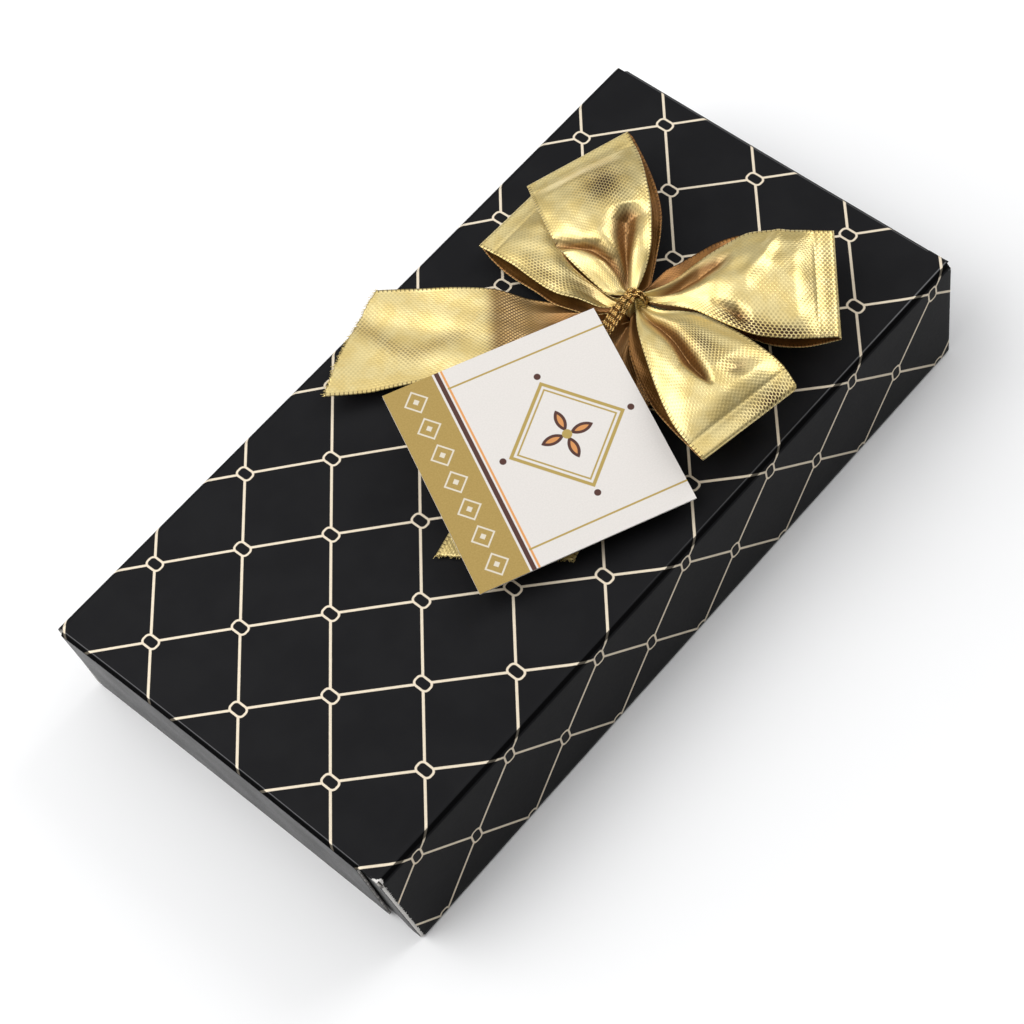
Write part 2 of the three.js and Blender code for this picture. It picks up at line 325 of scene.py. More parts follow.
# -------------------------------------------------------------------- materials
def printed_board():
    """Black satin print with a gold line lattice: diamonds with a small ring at every crossing."""
    m = Mat("carton_print", (0.010, 0.010, 0.011), 0.45, spec=0.05)
    u, v, vec = m.flat()
    i, j = (u + 49.8) / 12.842, (v - 2.16) / 12.0
    p, q = (i + j) * 0.5, (i - j) * 0.5
    dp, dq = p - p.round(), q - q.round()
    line = (dp.abs().min(dq.abs()) * (2 * 8.767)).ramp(0.32, 0.21)
    x, y = (dp + dq) * 12.842, (dp - dq) * 12.0
    d = length((x.abs() - 0.23).max(0.0), (y.abs() - 0.75).max(0.0)) - 0.95
    ring = d.abs().ramp(0.28, 0.17)
    # Scored folds: painted shade, a dark facet where the ink goes towards black and the gold dims (mask above 0), and
    # beside it a painted highlight, a thin light grey line (mask below 0).
    facet, fold_highlight = m.value("painted_shade_highlight").ramp(0.0, 0.8), (-m.value("painted_shade_highlight")).ramp(0.1, 0.9)
    gold = ring.max(line * d.ramp(-0.05, 0.1)) * m.value("lat").ramp(0.45, 0.55) * (1.0 - facet * 0.85)
    grain = m.noise(vec, 1.6, 4.0)
    mottle = m.noise(vec, 0.09, 2.0)
    fleck = m.noise(vec, 2.6, 2.0)
    ink = m.mix(mottle.ramp(0.35, 0.65), (0.0094, 0.0094, 0.0103), (0.0112, 0.0112, 0.0121))
    # Painted shade and painted highlight of the folds mixed into the ink.
    ink = m.mix(fold_highlight, m.mix(facet, ink, (0.0015, 0.0015, 0.0017)), (0.13, 0.13, 0.133))
    foil = m.mix(grain.ramp(0.35, 0.65), (0.71, 0.615, 0.475), (0.75, 0.655, 0.51))
    printed = m.mix(gold, ink, foil)
    crack = (m.value("wear") + (fleck - 0.5) * 1.1).ramp(0.72, 0.84)
    m.link("Base Color", m.mix(crack, printed, (0.66, 0.64, 0.61)))
    m.link("Metallic", gold * (1.0 - crack) * 0.15)
    m.link("Roughness", grain.ramp(0.2, 0.8, 0.42, 0.48) + crack * 0.3 + facet * 0.4 - gold * (1.0 - crack) * 0.1)
    m.link("Normal", m.bump(grain * (1.0 - gold * 0.7) * 0.6 + gold * 0.25 + m.noise(vec, 0.35, 2.0) * 2.0, 0.010))
    return m.m


def plain_board():
    """Ends of the carton: the same black without the lattice, with the varnish's sheen and fine rubbing marks."""
    m = Mat("carton_plain", (0.010, 0.010, 0.011), 0.42, spec=0.26)
    u, v, vec = m.flat()
    # Painted shade: the fold facet and the bottom edge of the end skirts go towards black.
    facet = m.value("painted_shade_highlight").ramp(0.0, 0.8)
    grain = m.noise(vec, 1.8, 4.0)
    cloud = m.noise(vec, 0.12, 3.0)
    fleck = m.noise(vec, 2.6, 2.0)
    crack = (m.value("wear") + (fleck - 0.5) * 1.1).ramp(0.72, 0.84)
    ink = m.mix(cloud.ramp(0.3, 0.7), (0.0085, 0.0085, 0.0095), (0.0125, 0.0122, 0.013))
    m.link("Base Color", m.mix(crack, m.mix(facet, ink, (0.0015, 0.0015, 0.0017)), (0.66, 0.64, 0.61)))
    m.link("Roughness", (grain * 0.5 + cloud * 0.5).ramp(0.3, 0.7, 0.34, 0.46) + crack * 0.3 + facet * 0.4)
    m.link("Normal", m.bump(grain * 0.8 + cloud * 3.0, 0.014))
    return m.m


def white_board():
    m = Mat("board_inside", (0.72, 0.70, 0.66), 0.75, spec=0.25)
    vec = m.obj()[3]
    fibre = m.noise(vec, 900.0, 5.0)
    cloud = m.noise(vec, 60.0, 2.0)
    m.link("Base Color", m.mix((fibre * 0.6 + cloud * 0.4).ramp(0.35, 0.65), (0.66, 0.64, 0.59), (0.77, 0.755, 0.715)))
    m.link("Normal", m.bump(fibre, 0.03))
    return m.m


def cut_board():
    m = Mat("board_cut_edge", (0.55, 0.53, 0.49), 0.85, spec=0.2)
    vec = m.obj()[3]
    fibre = m.noise(vec, 1600.0, 4.0)
    m.link("Base Color", m.mix(fibre.ramp(0.35, 0.65), (0.16, 0.155, 0.15), (0.52, 0.50, 0.47)))
    m.link("Normal", m.bump(fibre, 0.04))
    return m.m


def two_tone_board():
    """Base panels: black outside and underneath, white board inside."""
    m = Mat("carton_base", (0.012, 0.012, 0.013), 0.5, spec=0.34)
    x, y, z, vec = m.obj()
    outside = (-y).ramp(0.0419, 0.0421).max(x.abs().ramp(0.0801, 0.0803)).max((-z).ramp(-0.0004, -0.0002))
    fibre = m.noise(vec, 900.0, 5.0)
    inside = m.mix(fibre.ramp(0.35, 0.65), (0.66, 0.64, 0.59), (0.77, 0.755, 0.715))
    black = m.mix(fibre.ramp(0.3, 0.7), (0.010, 0.010, 0.011), (0.014, 0.014, 0.015))
    m.link("Base Color", m.mix(outside, inside, black))
    m.link("Roughness", outside.ramp(0.0, 1.0, 0.78, 0.44))
    m.link("Normal", m.bump(fibre, 0.02))
    return m.m


def lame(name="ribbon_lame", pale=(0.835, 0.685, 0.315), gold=(0.77, 0.595, 0.23), fold_shade=(0.23, 0.088, 0.016)):
    """Woven metallic ribbon: smooth foil with staggered pits where the threads cross, corded selvedges.
    Pressed folds get painted shade: the foil goes towards a darker gold and the pits grow with the fold attribute;
    stretched places (weave) show the pits more."""
    m = Mat(name, gold, 0.26, 0.62)
    s, w, vec = m.flat()
    row = w / 0.56
    col = s / 0.92 + (row.floor() * 0.5).fract()
    fx, fy = col.fract() - 0.5, row.fract() - 0.5
    weave = m.value("weave")
    pit = (length(fx * 2.6, fy * 2.2) - weave * 0.42).ramp(1.0, 0.35)
    thread = fy.abs().ramp(0.24, 0.46)
    edge = w.abs().ramp(11.75, 11.9)
    stitch = ((s / 0.9).fract() - 0.5).abs().ramp(0.30, 0.42) * edge
    tone = m.noise(vec, 0.22, 3.0)
    fold = m.value("fold")
    patch = m.noise(vec, 0.11, 1.0).ramp(0.45, 0.62)
    # The fold attribute is painted shade: it enlarges the dark pits and mixes the foil towards the darker gold.
    gap = (pit * (patch * 0.1 + fold * 0.2 + weave * 0.85 + 0.13)).max(thread * 0.17).min(1.0).max(stitch * 0.75)
    foil = m.mix(fold * 0.9, m.mix(tone.ramp(0.35, 0.65), gold, pale), fold_shade)
    m.link("Base Color", m.mix(gap, foil, (0.05, 0.02, 0.005)))
    m.link("Roughness", gap.ramp(0.0, 1.0, 0.29, 0.42))
    height = (w.abs() - 12.1).abs().ramp(0.45, 0.0) * 1.2 - pit * (weave * 0.5 + 0.5) + m.noise(vec, 1.1, 2.0) * 0.35
    m.link("Normal", m.bump(height, 0.034))
    return m.m


def cord_gold():
    m = Mat("cord_gold", (0.7, 0.44, 0.15), 0.28, 1.0)
    s, a, vec = m.flat()
    twist = (s * 4.2 + a).sin()
    m.link("Base Color", m.mix(twist.ramp(-0.6, 0.4), (0.10, 0.04, 0.01), (0.82, 0.55, 0.20)))
    m.link("Normal", m.bump(twist, 0.05))
    return m.m


def card_print():
    """Cream card with a gold side band, pinstripes and a plain ornament of petals in a diamond."""
    m = Mat("card_print", (0.75, 0.71, 0.67), 0.5, spec=0.3)
    a, b, vec = m.flat()
    fibre = m.noise(vec, 3.0, 4.0)
    cream = m.mix(fibre.ramp(0.3, 0.7), (0.690, 0.656, 0.618), (0.726, 0.690, 0.652))
    band = a.ramp(12.15, 12.25)
    gold = m.mix(fibre.ramp(0.3, 0.7), (0.376, 0.256, 0.072), (0.428, 0.296, 0.092))
    colour = m.mix(band, cream, gold)
    brown = (a - 11.3).abs().ramp(0.5, 0.42)
    colour = m.mix(brown, colour, (0.075, 0.026, 0.018))
    orange = (a - 10.25).abs().ramp(0.26, 0.18)
    colour = m.mix(orange, colour, (0.72, 0.32, 0.10))
    # Small cream diamonds along the gold band, a whole number of them.
    fb = (b / 6.2 + 0.5).fract() - 0.5
    dia = (a - 17.3).abs() / 2.6 + fb.abs() * (6.2 / 2.6)
    row = b.abs().ramp(21.8, 21.6)
    colour = m.mix((dia - 0.9).abs().ramp(0.12, 0.06) * row, colour, (0.70, 0.64, 0.52))
    colour = m.mix(dia.ramp(0.30, 0.24) * row, colour, (0.70, 0.64, 0.52))
    # Ornament: four petals round a bead, and a double diamond with a dot at each corner.
    x, y = a + 6.2, b * 1.0
    ax, ay = x.abs(), y.abs()
    rim = (ax + ay) * 0.70711
    diamond = (rim - 8.4).abs().ramp(0.40, 0.28).max((rim - 7.4).abs().ramp(0.22, 0.13))
    r = length(x, y)
    colour = m.mix(diamond, colour, (0.42, 0.30, 0.08))
    # A petal is the overlap of two circles, laid along each axis.
    px = length(ax - 3.1, ay + 2.2).max(length(ax - 3.1, ay - 2.2))
    py = length(ay - 3.1, ax + 2.2).max(length(ay - 3.1, ax - 2.2))
    colour = m.mix(px.min(py).ramp(3.32, 3.22), colour, (0.075, 0.026, 0.018))
    colour = m.mix(px.min(py).ramp(2.72, 2.62), colour, (0.62, 0.27, 0.085))
    colour = m.mix(r.ramp(1.05, 0.95), colour, (0.42, 0.30, 0.08))
    dots = length(ax - 13.6, y).min(length(x, ay - 13.6))
    colour = m.mix(dots.ramp(0.75, 0.63), colour, (0.075, 0.026, 0.018))
    line = (ay - 18.6).abs().ramp(0.24, 0.15) * a.ramp(10.6, 10.5)
    colour = m.mix(line, colour, (0.42, 0.30, 0.08))
    m.link("Base Color", colour)
    m.link("Roughness", band.ramp(0.0, 1.0, 0.52, 0.38))
    m.link("Metallic", band * 0.35)
    m.link("Normal", m.bump(fibre, 0.008))
    return m.m


def card_back():
    m = Mat("card_paper", (0.76, 0.73, 0.69), 0.65, spec=0.3)
    a, b, vec = m.flat()
    fibre = m.noise(vec, 3.5, 4.0)
    m.link("Base Color", m.mix(fibre.ramp(0.3, 0.7), (0.72, 0.69, 0.645), (0.79, 0.765, 0.725)))
    m.link("Normal", m.bump(fibre, 0.01))
    return m.m


def tray_film():
    m = Mat("tray_film", (0.30, 0.17, 0.055), 0.28, 0.35, Coat_Weight=0.4, Coat_Roughness=0.15)
    vec = m.obj()[3]
    cloud = m.noise(vec, 45.0, 3.0)
    m.link("Base Color", m.mix(cloud.ramp(0.3, 0.7), (0.27, 0.145, 0.042), (0.36, 0.21, 0.07)))
    m.link("Roughness", cloud.ramp(0.3, 0.7, 0.24, 0.34))
    m.link("Normal", m.bump(m.noise(vec, 500.0, 2.0), 0.01))
    return m.m


def pad_paper():
    m = Mat("pad_paper", (0.6, 0.46, 0.24), 0.5, 0.2)
    vec = m.obj()[3]
    crease = m.noise(vec, 260.0, 4.0, 0.7)
    m.link("Base Color", m.mix(crease.ramp(0.35, 0.65), (0.52, 0.37, 0.16), (0.68, 0.53, 0.29)))
    m.link("Roughness", crease.ramp(0.3, 0.7, 0.42, 0.58))
    m.link("Normal", m.bump(crease, 0.12))
    return m.m


def chocolate(name, lo, hi, deco, rough=0.3, deco_rough=0.35, dust=0.0):
    m = Mat(name, lo, rough, spec=0.5, Subsurface_Weight=0.05, Subsurface_Scale=0.001)
    m.set("Subsurface Radius", (1.0, 0.5, 0.25))
    vec = m.obj()[3]
    cloud = m.noise(vec, 130.0, 4.0)
    fine = m.noise(vec, 1500.0, 3.0)
    body = m.mix(cloud.ramp(0.3, 0.7), lo, hi)
    mask = m.value("deco").ramp(0.35, 0.6)
    m.link("Base Color", m.mix(mask, body, deco))
    m.link("Roughness", cloud.ramp(0.3, 0.7, rough - 0.05, rough + 0.08) + mask * (deco_rough - rough))
    m.link("Normal", m.bump(fine * (0.5 + dust) + cloud, 0.05))
    return m.m


def foam():
    m = Mat("adhesive_foam", (0.75, 0.73, 0.66), 0.8)
    vec = m.obj()[3]
    cells = m.noise(vec, 2500.0, 2.0)
    m.link("Base Color", m.mix(cells.ramp(0.3, 0.7), (0.66, 0.64, 0.57), (0.8, 0.78, 0.71)))
    m.link("Normal", m.bump(cells, 0.05))
    return m.m


PRINT, PLAIN, WHITE, CUT, BASE = printed_board(), plain_board(), white_board(), cut_board(), two_tone_board()
LAME, CORD, CARD, CARD_BACK = lame(), cord_gold(), card_print(), card_back()
# Painted shade: a darker copy of the lamé for the inner faces of the ribbon, standing for the shade inside the loops.
LAME_SHADED_INSIDE = lame("ribbon_lame_inside_painted_shade", (0.28, 0.125, 0.027), (0.20, 0.085, 0.018), (0.13, 0.05, 0.01))

# ---------------------------------------------------------------- carton: lid
LID_Z, CROWN = 26.4, 1.7
BACK_R = 0.9
TOP_L, TOP_R, TOP_Y0 = -84.08, 84.6, -41.87
END_Y0, END_Y1, SKIRT_Z = -37.15, 42.3, 0.3
FOLD_LEN = 1.4
FOLD_AT = np.concatenate([np.linspace(0, 0.3, 5), np.linspace(0.3, 1.05, 6)[1:], np.linspace(1.05, FOLD_LEN, 6)[1:]])


def fold_profile(first, last):
    """A scored fold in board: a quick bend, a narrow facet, a quick bend.
    Gives the travel across and down at each step of FOLD_AT, for each starting angle in first."""
    s = np.linspace(0, FOLD_LEN, 281)
    start, end = np.interp(s, [0, 0.3], [1, 0]), np.interp(s, [1.05, FOLD_LEN], [0, 1])
    a = np.outer(np.atleast_1d(first), start) + math.radians(46) * (1 - start - end) + last * end
    at = np.round(FOLD_AT / s[1]).astype(int)

    def run(g):
        return np.hstack([np.zeros((len(g), 1)), np.cumsum((g[:, 1:] + g[:, :-1]) / 2 * s[1], 1)])[:, at]

    return run(np.cos(a)), run(np.sin(a))


def back_line(x):
    """Where the planes of the top and the back wall meet; the carton is slightly out of square."""
    return 44.2 + 0.33 * np.asarray(x, float) / 80


def lid_top(x, y):
    """Top face: crowned across the width, running flat towards the right end."""
    crown = CROWN * np.maximum(0, 1 - ((np.asarray(y, float) - 0.3) / 42.7) ** 2)
    return LID_Z + crown * (1 - smoothstep(46, 86, x))


def build_lid():
    sh = Sheet()
    share = np.linspace(0, 1, 181)
    xs = TOP_L + (TOP_R - TOP_L) * share
    ys = np.concatenate([np.linspace(TOP_Y0, -40.9, 14), np.linspace(-40.9, END_Y0, 8)[1:], np.linspace(END_Y0, END_Y1, 85)[1:]])
    free = int(np.argmin(np.abs(ys - END_Y0))) + 1

    def bead(y):
        return 0.12 * np.exp(-((y + 41.65) / 0.5) ** 2)

    # Top panel.
    X = np.repeat(xs[:, None], len(ys) + 2, 1)
    rest = back_line(xs) - BACK_R - END_Y1
    Y = np.hstack([np.repeat(ys[None], len(xs), 0), END_Y1 + rest[:, None] * [0.5, 1.0]])
    wear = 1.5 * np.exp(-(((X + 84.2) / 0.9) ** 2 + ((Y + 42.15) / 0.8) ** 2))
    # Painted shade at the front edge of the top, and a painted highlight line just behind it that grows stronger to
    # the right.
    painted_shade_highlight = (1 - smoothstep(TOP_Y0 - 0.05, TOP_Y0 + 0.12, Y)
             - 0.9 * np.clip((X + 25) / 100, 0, 1) ** 0.7 * np.exp(-((Y - TOP_Y0 - 0.3) / 0.15) ** 2))
    sh.add(np.stack([X, Y, lid_top(X, Y) + bead(Y)], -1), grid_faces(*X.shape), np.stack([X, Y], -1),
           np.stack([np.ones_like(X), wear, painted_shade_highlight], -1).reshape(-1, 3), (0, 0, 1))
    # Corners of the top beside the front skirt, cut free.
    for s, edge in ((-1, TOP_L), (1, TOP_R)):
        out = np.array([0, 0.3, 0.6])
        CX, CY = np.meshgrid(edge + s * out, ys[:free], indexing="ij")
        w = np.where(s < 0, 0.45 + 1.1 * np.exp(-((CY + 41.75) / 1.0) ** 2), 0.25)
        sh.add(np.stack([CX, CY, lid_top(edge, CY) + bead(CY) - (0.4 * out ** 2)[:, None]], -1), grid_faces(3, free),
               np.stack([CX, CY], -1), np.stack([np.ones_like(CX), w], -1).reshape(-1, 2), (0, 0, 1))
    # Front skirt: crease, then down with an outward flare that grows to the left; its sides taper in.
    nr = 38
    a0 = np.arctan(2 * CROWN * (0.3 - TOP_Y0) / 42.7 ** 2 * (1 - smoothstep(46, 86, xs)))
    across, down = fold_profile(a0, math.radians(87.6))
    z0 = lid_top(xs, TOP_Y0)[:, None]
    ay, az = TOP_Y0 - across, z0 - down
    ze, ye = az[:, -1:], ay[:, -1:]
    rz = ze + (SKIRT_Z - ze) * np.linspace(0, 1, nr)[1:]
    g = np.clip((1 - xs / 84) / 2, 0, 1)[:, None]
    flare = (0.51 + 0.7 * g + 0.2 * g ** 6) * ((ze - rz) / 25.1) ** 1.2
    ry = ye - (ze - rz) * math.tan(math.radians(2.4)) - flare
    v_end = -43.0 - (26.4 - ze) / 0.9991
    PY, PZ = np.hstack([ay, ry]), np.hstack([az + bead(ay), rz])
    PV = np.hstack([TOP_Y0 + (v_end - TOP_Y0) * FOLD_AT / FOLD_LEN, -43.0 - (26.4 - rz) / 0.9991])
    depth = np.hstack([z0 - az, z0 - rz])
    taper = np.maximum(0, depth - 1.1) / 25
    left = TOP_L + 0.1 * smoothstep(0, 1, depth) + 2.6 * taper
    right = TOP_R - 0.05 * smoothstep(0, 1, depth) - 2.55 * taper
    X = left + (right - left) * share[:, None]
    wear = np.exp(-((X - left) / 0.3) ** 2) * 0.75 * smoothstep(0.6, 1.6, depth)
    wear += np.exp(-((right - X) / 0.4) ** 2) * 0.35 * smoothstep(0.6, 1.6, depth)
    wear = np.maximum(wear, 1.5 * np.exp(-(((X + 84.2) / 0.9) ** 2 + (depth / 0.9) ** 2)))
    # Painted shade over the front fold.
    painted_shade_highlight = np.concatenate([1 - smoothstep(0.7, 1.0, FOLD_AT), np.zeros(nr - 1)])
    sh.add(np.stack([X, PY, PZ], -1), grid_faces(*X.shape), np.stack([X, PV], -1),
           np.stack([np.ones_like(X), wear, np.broadcast_to(painted_shade_highlight, X.shape)], -1).reshape(-1, 3), (0, -1, 0.1))
    # Corner tabs: round from the front skirt and back along the inside of the end skirts.
    turn = np.linspace(0, math.pi / 2, 7)
    back = np.linspace(0, 1, 14)[1:]
    n = len(turn) + len(back)
    for s, col in ((-1, 0), (1, len(xs) - 1)):
        rows = np.arange(int(np.argmax(depth[col] >= 1.6)), PY.shape[1])
        V, FL, MK = [], [], []
        for k in rows:
            xe, yf = abs(X[col, k]), PY[col, k]
            bx = xe + 0.7 * np.sin(turn)
            by = yf + 0.7 - 0.7 * np.cos(turn)
            ty = by[-1] + back * (-24 - by[-1])
            tx = bx[-1] - 0.5 * smoothstep(-43.0, -38.3, ty)
            px, py = np.concatenate([bx, tx]), np.concatenate([by, ty])
            V.append(np.stack([s * px, py, np.full_like(px, PZ[col, k])], -1))
            dist = np.concatenate([[0], np.cumsum(np.hypot(np.diff(px), np.diff(py)))])
            FL.append(np.stack([s * (xe + dist), np.full_like(px, PV[col, k])], -1))
            w = np.exp(-((dist - 0.4) / 0.42) ** 2) * (1.35 if s < 0 else 0.6)
            MK.append(np.stack([1 - smoothstep(0.5, 0.8, dist), w], -1))
        slots = np.where(np.arange(n - 1) >= 5, 3, 0)
        sh.add(np.array(V), grid_faces(len(rows), n), np.array(FL), np.array(MK).reshape(-1, 2), (s, 0, 0),
               np.tile(slots, len(rows) - 1))
    # End skirts: crease, then down, leaning inwards.
    ys_end = ys[free - 1:]
    na, nr = len(FOLD_AT), 27
    for s, edge, lean in ((-1, TOP_L, 2.5), (1, TOP_R, 2.5)):
        lean = math.atan(lean / 25.1)
        across, down = fold_profile(0.0, math.pi / 2 + lean)
        V, FL, MK = [], [], []
        for y in ys_end:
            zt = float(lid_top(edge, y))
            bx, bz = abs(edge) + across[0], zt - down[0]
            full = bz[-1] - SKIRT_Z
            run = np.concatenate([np.linspace(0, full - 0.6, nr - 2)[1:], [full - 0.35, full]])
            px = np.concatenate([bx, bx[-1] - run * math.tan(lean)])
            pz = np.concatenate([bz, bz[-1] - run])
            dist = np.concatenate([[0], np.cumsum(np.hypot(np.diff(px), np.diff(pz)))])
            V.append(np.stack([s * px, np.full_like(px, y), pz], -1))
            FL.append(np.stack([s * (abs(edge) + dist), np.full_like(px, y)], -1))
            lat = 1 - smoothstep(0.95, 1.45, dist)
            w = 0.28 * np.exp(-((dist - 0.7) / 0.35) ** 2)
            # Painted shade on the fold's facet, a painted highlight line where the fold starts, and a painted shadow
            # line along the bottom edge.
            painted_shade_highlight = (smoothstep(0.28, 0.45, dist) * (1 - smoothstep(1.1, 1.5, dist)) - np.exp(-((dist - 0.13) / 0.07) ** 2)
                     + smoothstep(dist[-1] - 0.5, dist[-1] - 0.3, dist))
            MK.append(np.stack([lat, w, painted_shade_highlight], -1))
        slots = np.where(np.arange(na + nr - 2) >= na - 2, 3, 0)
        sh.add(np.array(V), grid_faces(len(ys_end), na + nr - 1), np.array(FL), np.array(MK).reshape(-1, 3), (s, 0, 0),
               np.tile(slots, len(ys_end) - 1))
    # The front right corner stands out a little.
    for v in sh.v:
        v[:, 0] += 0.28 * smoothstep(55, 85, v[:, 0]) * smoothstep(15, -42, v[:, 1])
    ob = sh.build("lid_carton", ("lat", "wear", "painted_shade_highlight"))
    for m in (PRINT, WHITE, CUT, PLAIN, WHITE, CUT):
        ob.data.materials.append(m)
    solidify(ob, 0.5, inner=1, rim=2)
    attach(ob, "lid")
    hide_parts("lid_top_panel", "lid_front_skirt", "lid_end_skirt_left", "lid_end_skirt_right",
                "lid_corner_tab_left", "lid_corner_tab_right")
    return ob


def build_back():
    """Back wall of the base, which carries on the lattice, and the crease that joins it to the lid."""
    share = np.linspace(0, 1, 181)
    turn = np.linspace(0, math.pi / 2, 7)
    pz = np.concatenate([np.linspace(25.3, 0.9, 26), 0.9 - 0.9 * np.sin(turn[1:])])
    inset = np.concatenate([np.zeros(26), 0.9 - 0.9 * np.cos(turn[1:])])
    rise = np.clip(pz, 0, 25.3) / 25.3
    left, right = -82.4 - 2.0 * rise, 82.7 + 2.0 * rise
    F, K = np.meshgrid(share, np.arange(len(pz)), indexing="ij")
    sh = Sheet()
    X = left[K] + (right - left)[K] * F
    masks = np.stack([np.ones_like(X), 0.5 * np.exp(-(np.minimum(X - left[K], right[K] - X) / 0.5) ** 2)], -1)
    sh.add(np.stack([X, back_line(X) - inset[K], pz[K]], -1), grid_faces(*X.shape), np.stack([X, back_line(X) + 26.4 - pz[K]], -1),
           masks.reshape(-1, 2), (0, 1, 0))
    wall = sh.build("back_wall_carton", ("lat", "wear"))
    for m in (PRINT, WHITE, CUT):
        wall.data.materials.append(m)
    solidify(wall, 0.5, inner=1, rim=2)
    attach(wall, "base")
    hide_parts("base_back_wall")

    t = np.linspace(0, 1, 12)
    ang = t * math.pi / 2
    F, K = np.meshgrid(share, np.arange(12), indexing="ij")
    left, right = TOP_L + (-84.4 - TOP_L) * t, TOP_R + (84.7 - TOP_R) * t
    X = left[K] + (right - left)[K] * F
    Y = back_line(X) - BACK_R * (1 - np.sin(ang))[K]
    Z = 25.3 + (LID_Z - 25.3) * np.cos(ang)[K]
    sh = Sheet()
    masks = np.stack([np.ones_like(X), np.full_like(X, 0.1)], -1)
    sh.add(np.stack([X, Y, Z], -1), grid_faces(*X.shape), np.stack([X, back_line(X) - BACK_R + (BACK_R + 1.1) * t[K]], -1),
           masks.reshape(-1, 2), (0, 0.7, 0.7))
    crease = sh.build("back_crease", ("lat", "wear"))
    for m in (PRINT, WHITE, PLAIN):
        crease.data.materials.append(m)
    solidify(crease, 0.5, inner=1, rim=2)
    apply_modifiers(crease)
    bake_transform(crease)


def base_panels():
    for n in ("base_bottom", "base_front_wall", "base_end_wall_left", "base_end_wall_right",
              "base_corner_tab_front_left", "base_corner_tab_front_right",
              "base_corner_tab_back_left", "base_corner_tab_back_right"):
        o = NODES[n]
        o.data.materials.clear()
        o.data.materials.append(BASE)


build_lid()
build_back()
base_panels()

# --------------------------------------------------------- tray, pralines, pad
PITCH_X, PITCH_Y, TRAY_Y = 25.6, 26.4, 0.5
TRAY_TOP, TRAY_FLOOR, PRALINE_Z = 18.4, 4.6, 4.9


def build_tray():
    """Thermoformed sheet: eighteen rounded-square pockets with fluted walls, raised beads, turned-down rim."""
    nx, ny = 391, 205
    xs, ys = np.linspace(-78.4, 78.4, nx), np.linspace(TRAY_Y - 40.9, TRAY_Y + 40.9, ny)
    X, Y = np.meshgrid(xs, ys, indexing="ij")
    cx = (np.round(X / PITCH_X - 0.5) + 0.5) * PITCH_X
    cx = np.clip(cx, -2.5 * PITCH_X, 2.5 * PITCH_X)
    cy = TRAY_Y + np.clip(np.round((Y - TRAY_Y) / PITCH_Y), -1, 1) * PITCH_Y
    lx, ly = np.abs(X - cx), np.abs(Y - cy)
    r = (lx ** 5 + ly ** 5) ** 0.2
    ang = np.arctan2(Y - cy, X - cx)
    flute = 0.16 * np.cos(ang * 28) * smoothstep(11.9, 11.2, r) * smoothstep(10.1, 10.8, r)
    depth = smoothstep(11.75, 10.35, r + flute)
    lip = 0.45 * np.exp(-((r - 12.05) / 0.42) ** 2)
    Z = TRAY_TOP - 0.5 + lip - (TRAY_TOP - 0.5 - TRAY_FLOOR) * depth
    inner = smoothstep(6.8, 5.9, r) * depth
    Z += 0.5 * inner * (1 - smoothstep(3.0, 4.2, r))
    rim = np.minimum(np.minimum(xs[:, None] + 78.4, 78.4 - xs[:, None]), np.minimum(ys[None] - ys[0], ys[-1] - ys[None]))
    v = [np.stack([X, Y, np.where(rim < 0.01, TRAY_TOP - 0.55, Z)], -1).reshape(-1, 3)]
    f = [grid_faces(nx, ny)]
    # Turned-down rim.
    loop = ([(i, 0) for i in range(nx)] + [(nx - 1, j) for j in range(1, ny)]
            + [(i, ny - 1) for i in range(nx - 2, -1, -1)] + [(0, j) for j in range(ny - 2, 0, -1)])
    idx = np.array([i * ny + j for i, j in loop])
    rings = [idx]
    base = nx * ny
    for z in (14.0, 9.0, 4.0, 1.1):
        pts = v[0][idx].copy()
        pts[:, 2] = z
        v.append(pts)
        rings.append(np.arange(base, base + len(idx)))
        base += len(idx)
    verts = np.vstack(v)
    f = [oriented(verts, f[0], (0, 0, 1))]
    for a, b in zip(rings[:-1], rings[1:]):
        a2, b2 = np.roll(a, -1), np.roll(b, -1)
        f.append(np.stack([a, b, b2, a2], 1))
    ob = make("tray_film_sheet", verts, np.vstack(f))
    ob.data.materials.append(tray_film())
    solidify(ob, 0.3)
    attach(ob, "base")
    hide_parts("praline_tray")


KINDS = [
    ("round", "dark", [(0, 8.6), (1, 9.3), (6, 9.3), (10, 8.1), (13, 5.6), (14.2, 3.2), (14.6, 0)]),
    ("square", "milk", [(0, 8.6), (1, 9.1), (9, 8.6), (11.5, 7.6), (12.4, 6.2), (12.6, 0)]),
    ("oval", "milk", [(0, 9.0), (1, 9.8), (6, 9.5), (10, 7.6), (12.4, 4.4), (13.2, 0)]),
    ("round", "white", [(0, 8.4), (1, 9.2), (5, 9.0), (8, 7.6), (11, 5.4), (13.6, 2.8), (15.2, 0)]),
    ("hex", "dark", [(0, 9.2), (1, 9.9), (8, 9.2), (11, 8.0), (12.2, 6.0), (12.4, 0)]),
    ("square", "dark", [(0, 8.4), (1, 9.0), (7, 8.8), (10, 7.2), (12.4, 4.2), (13.4, 0)]),
]


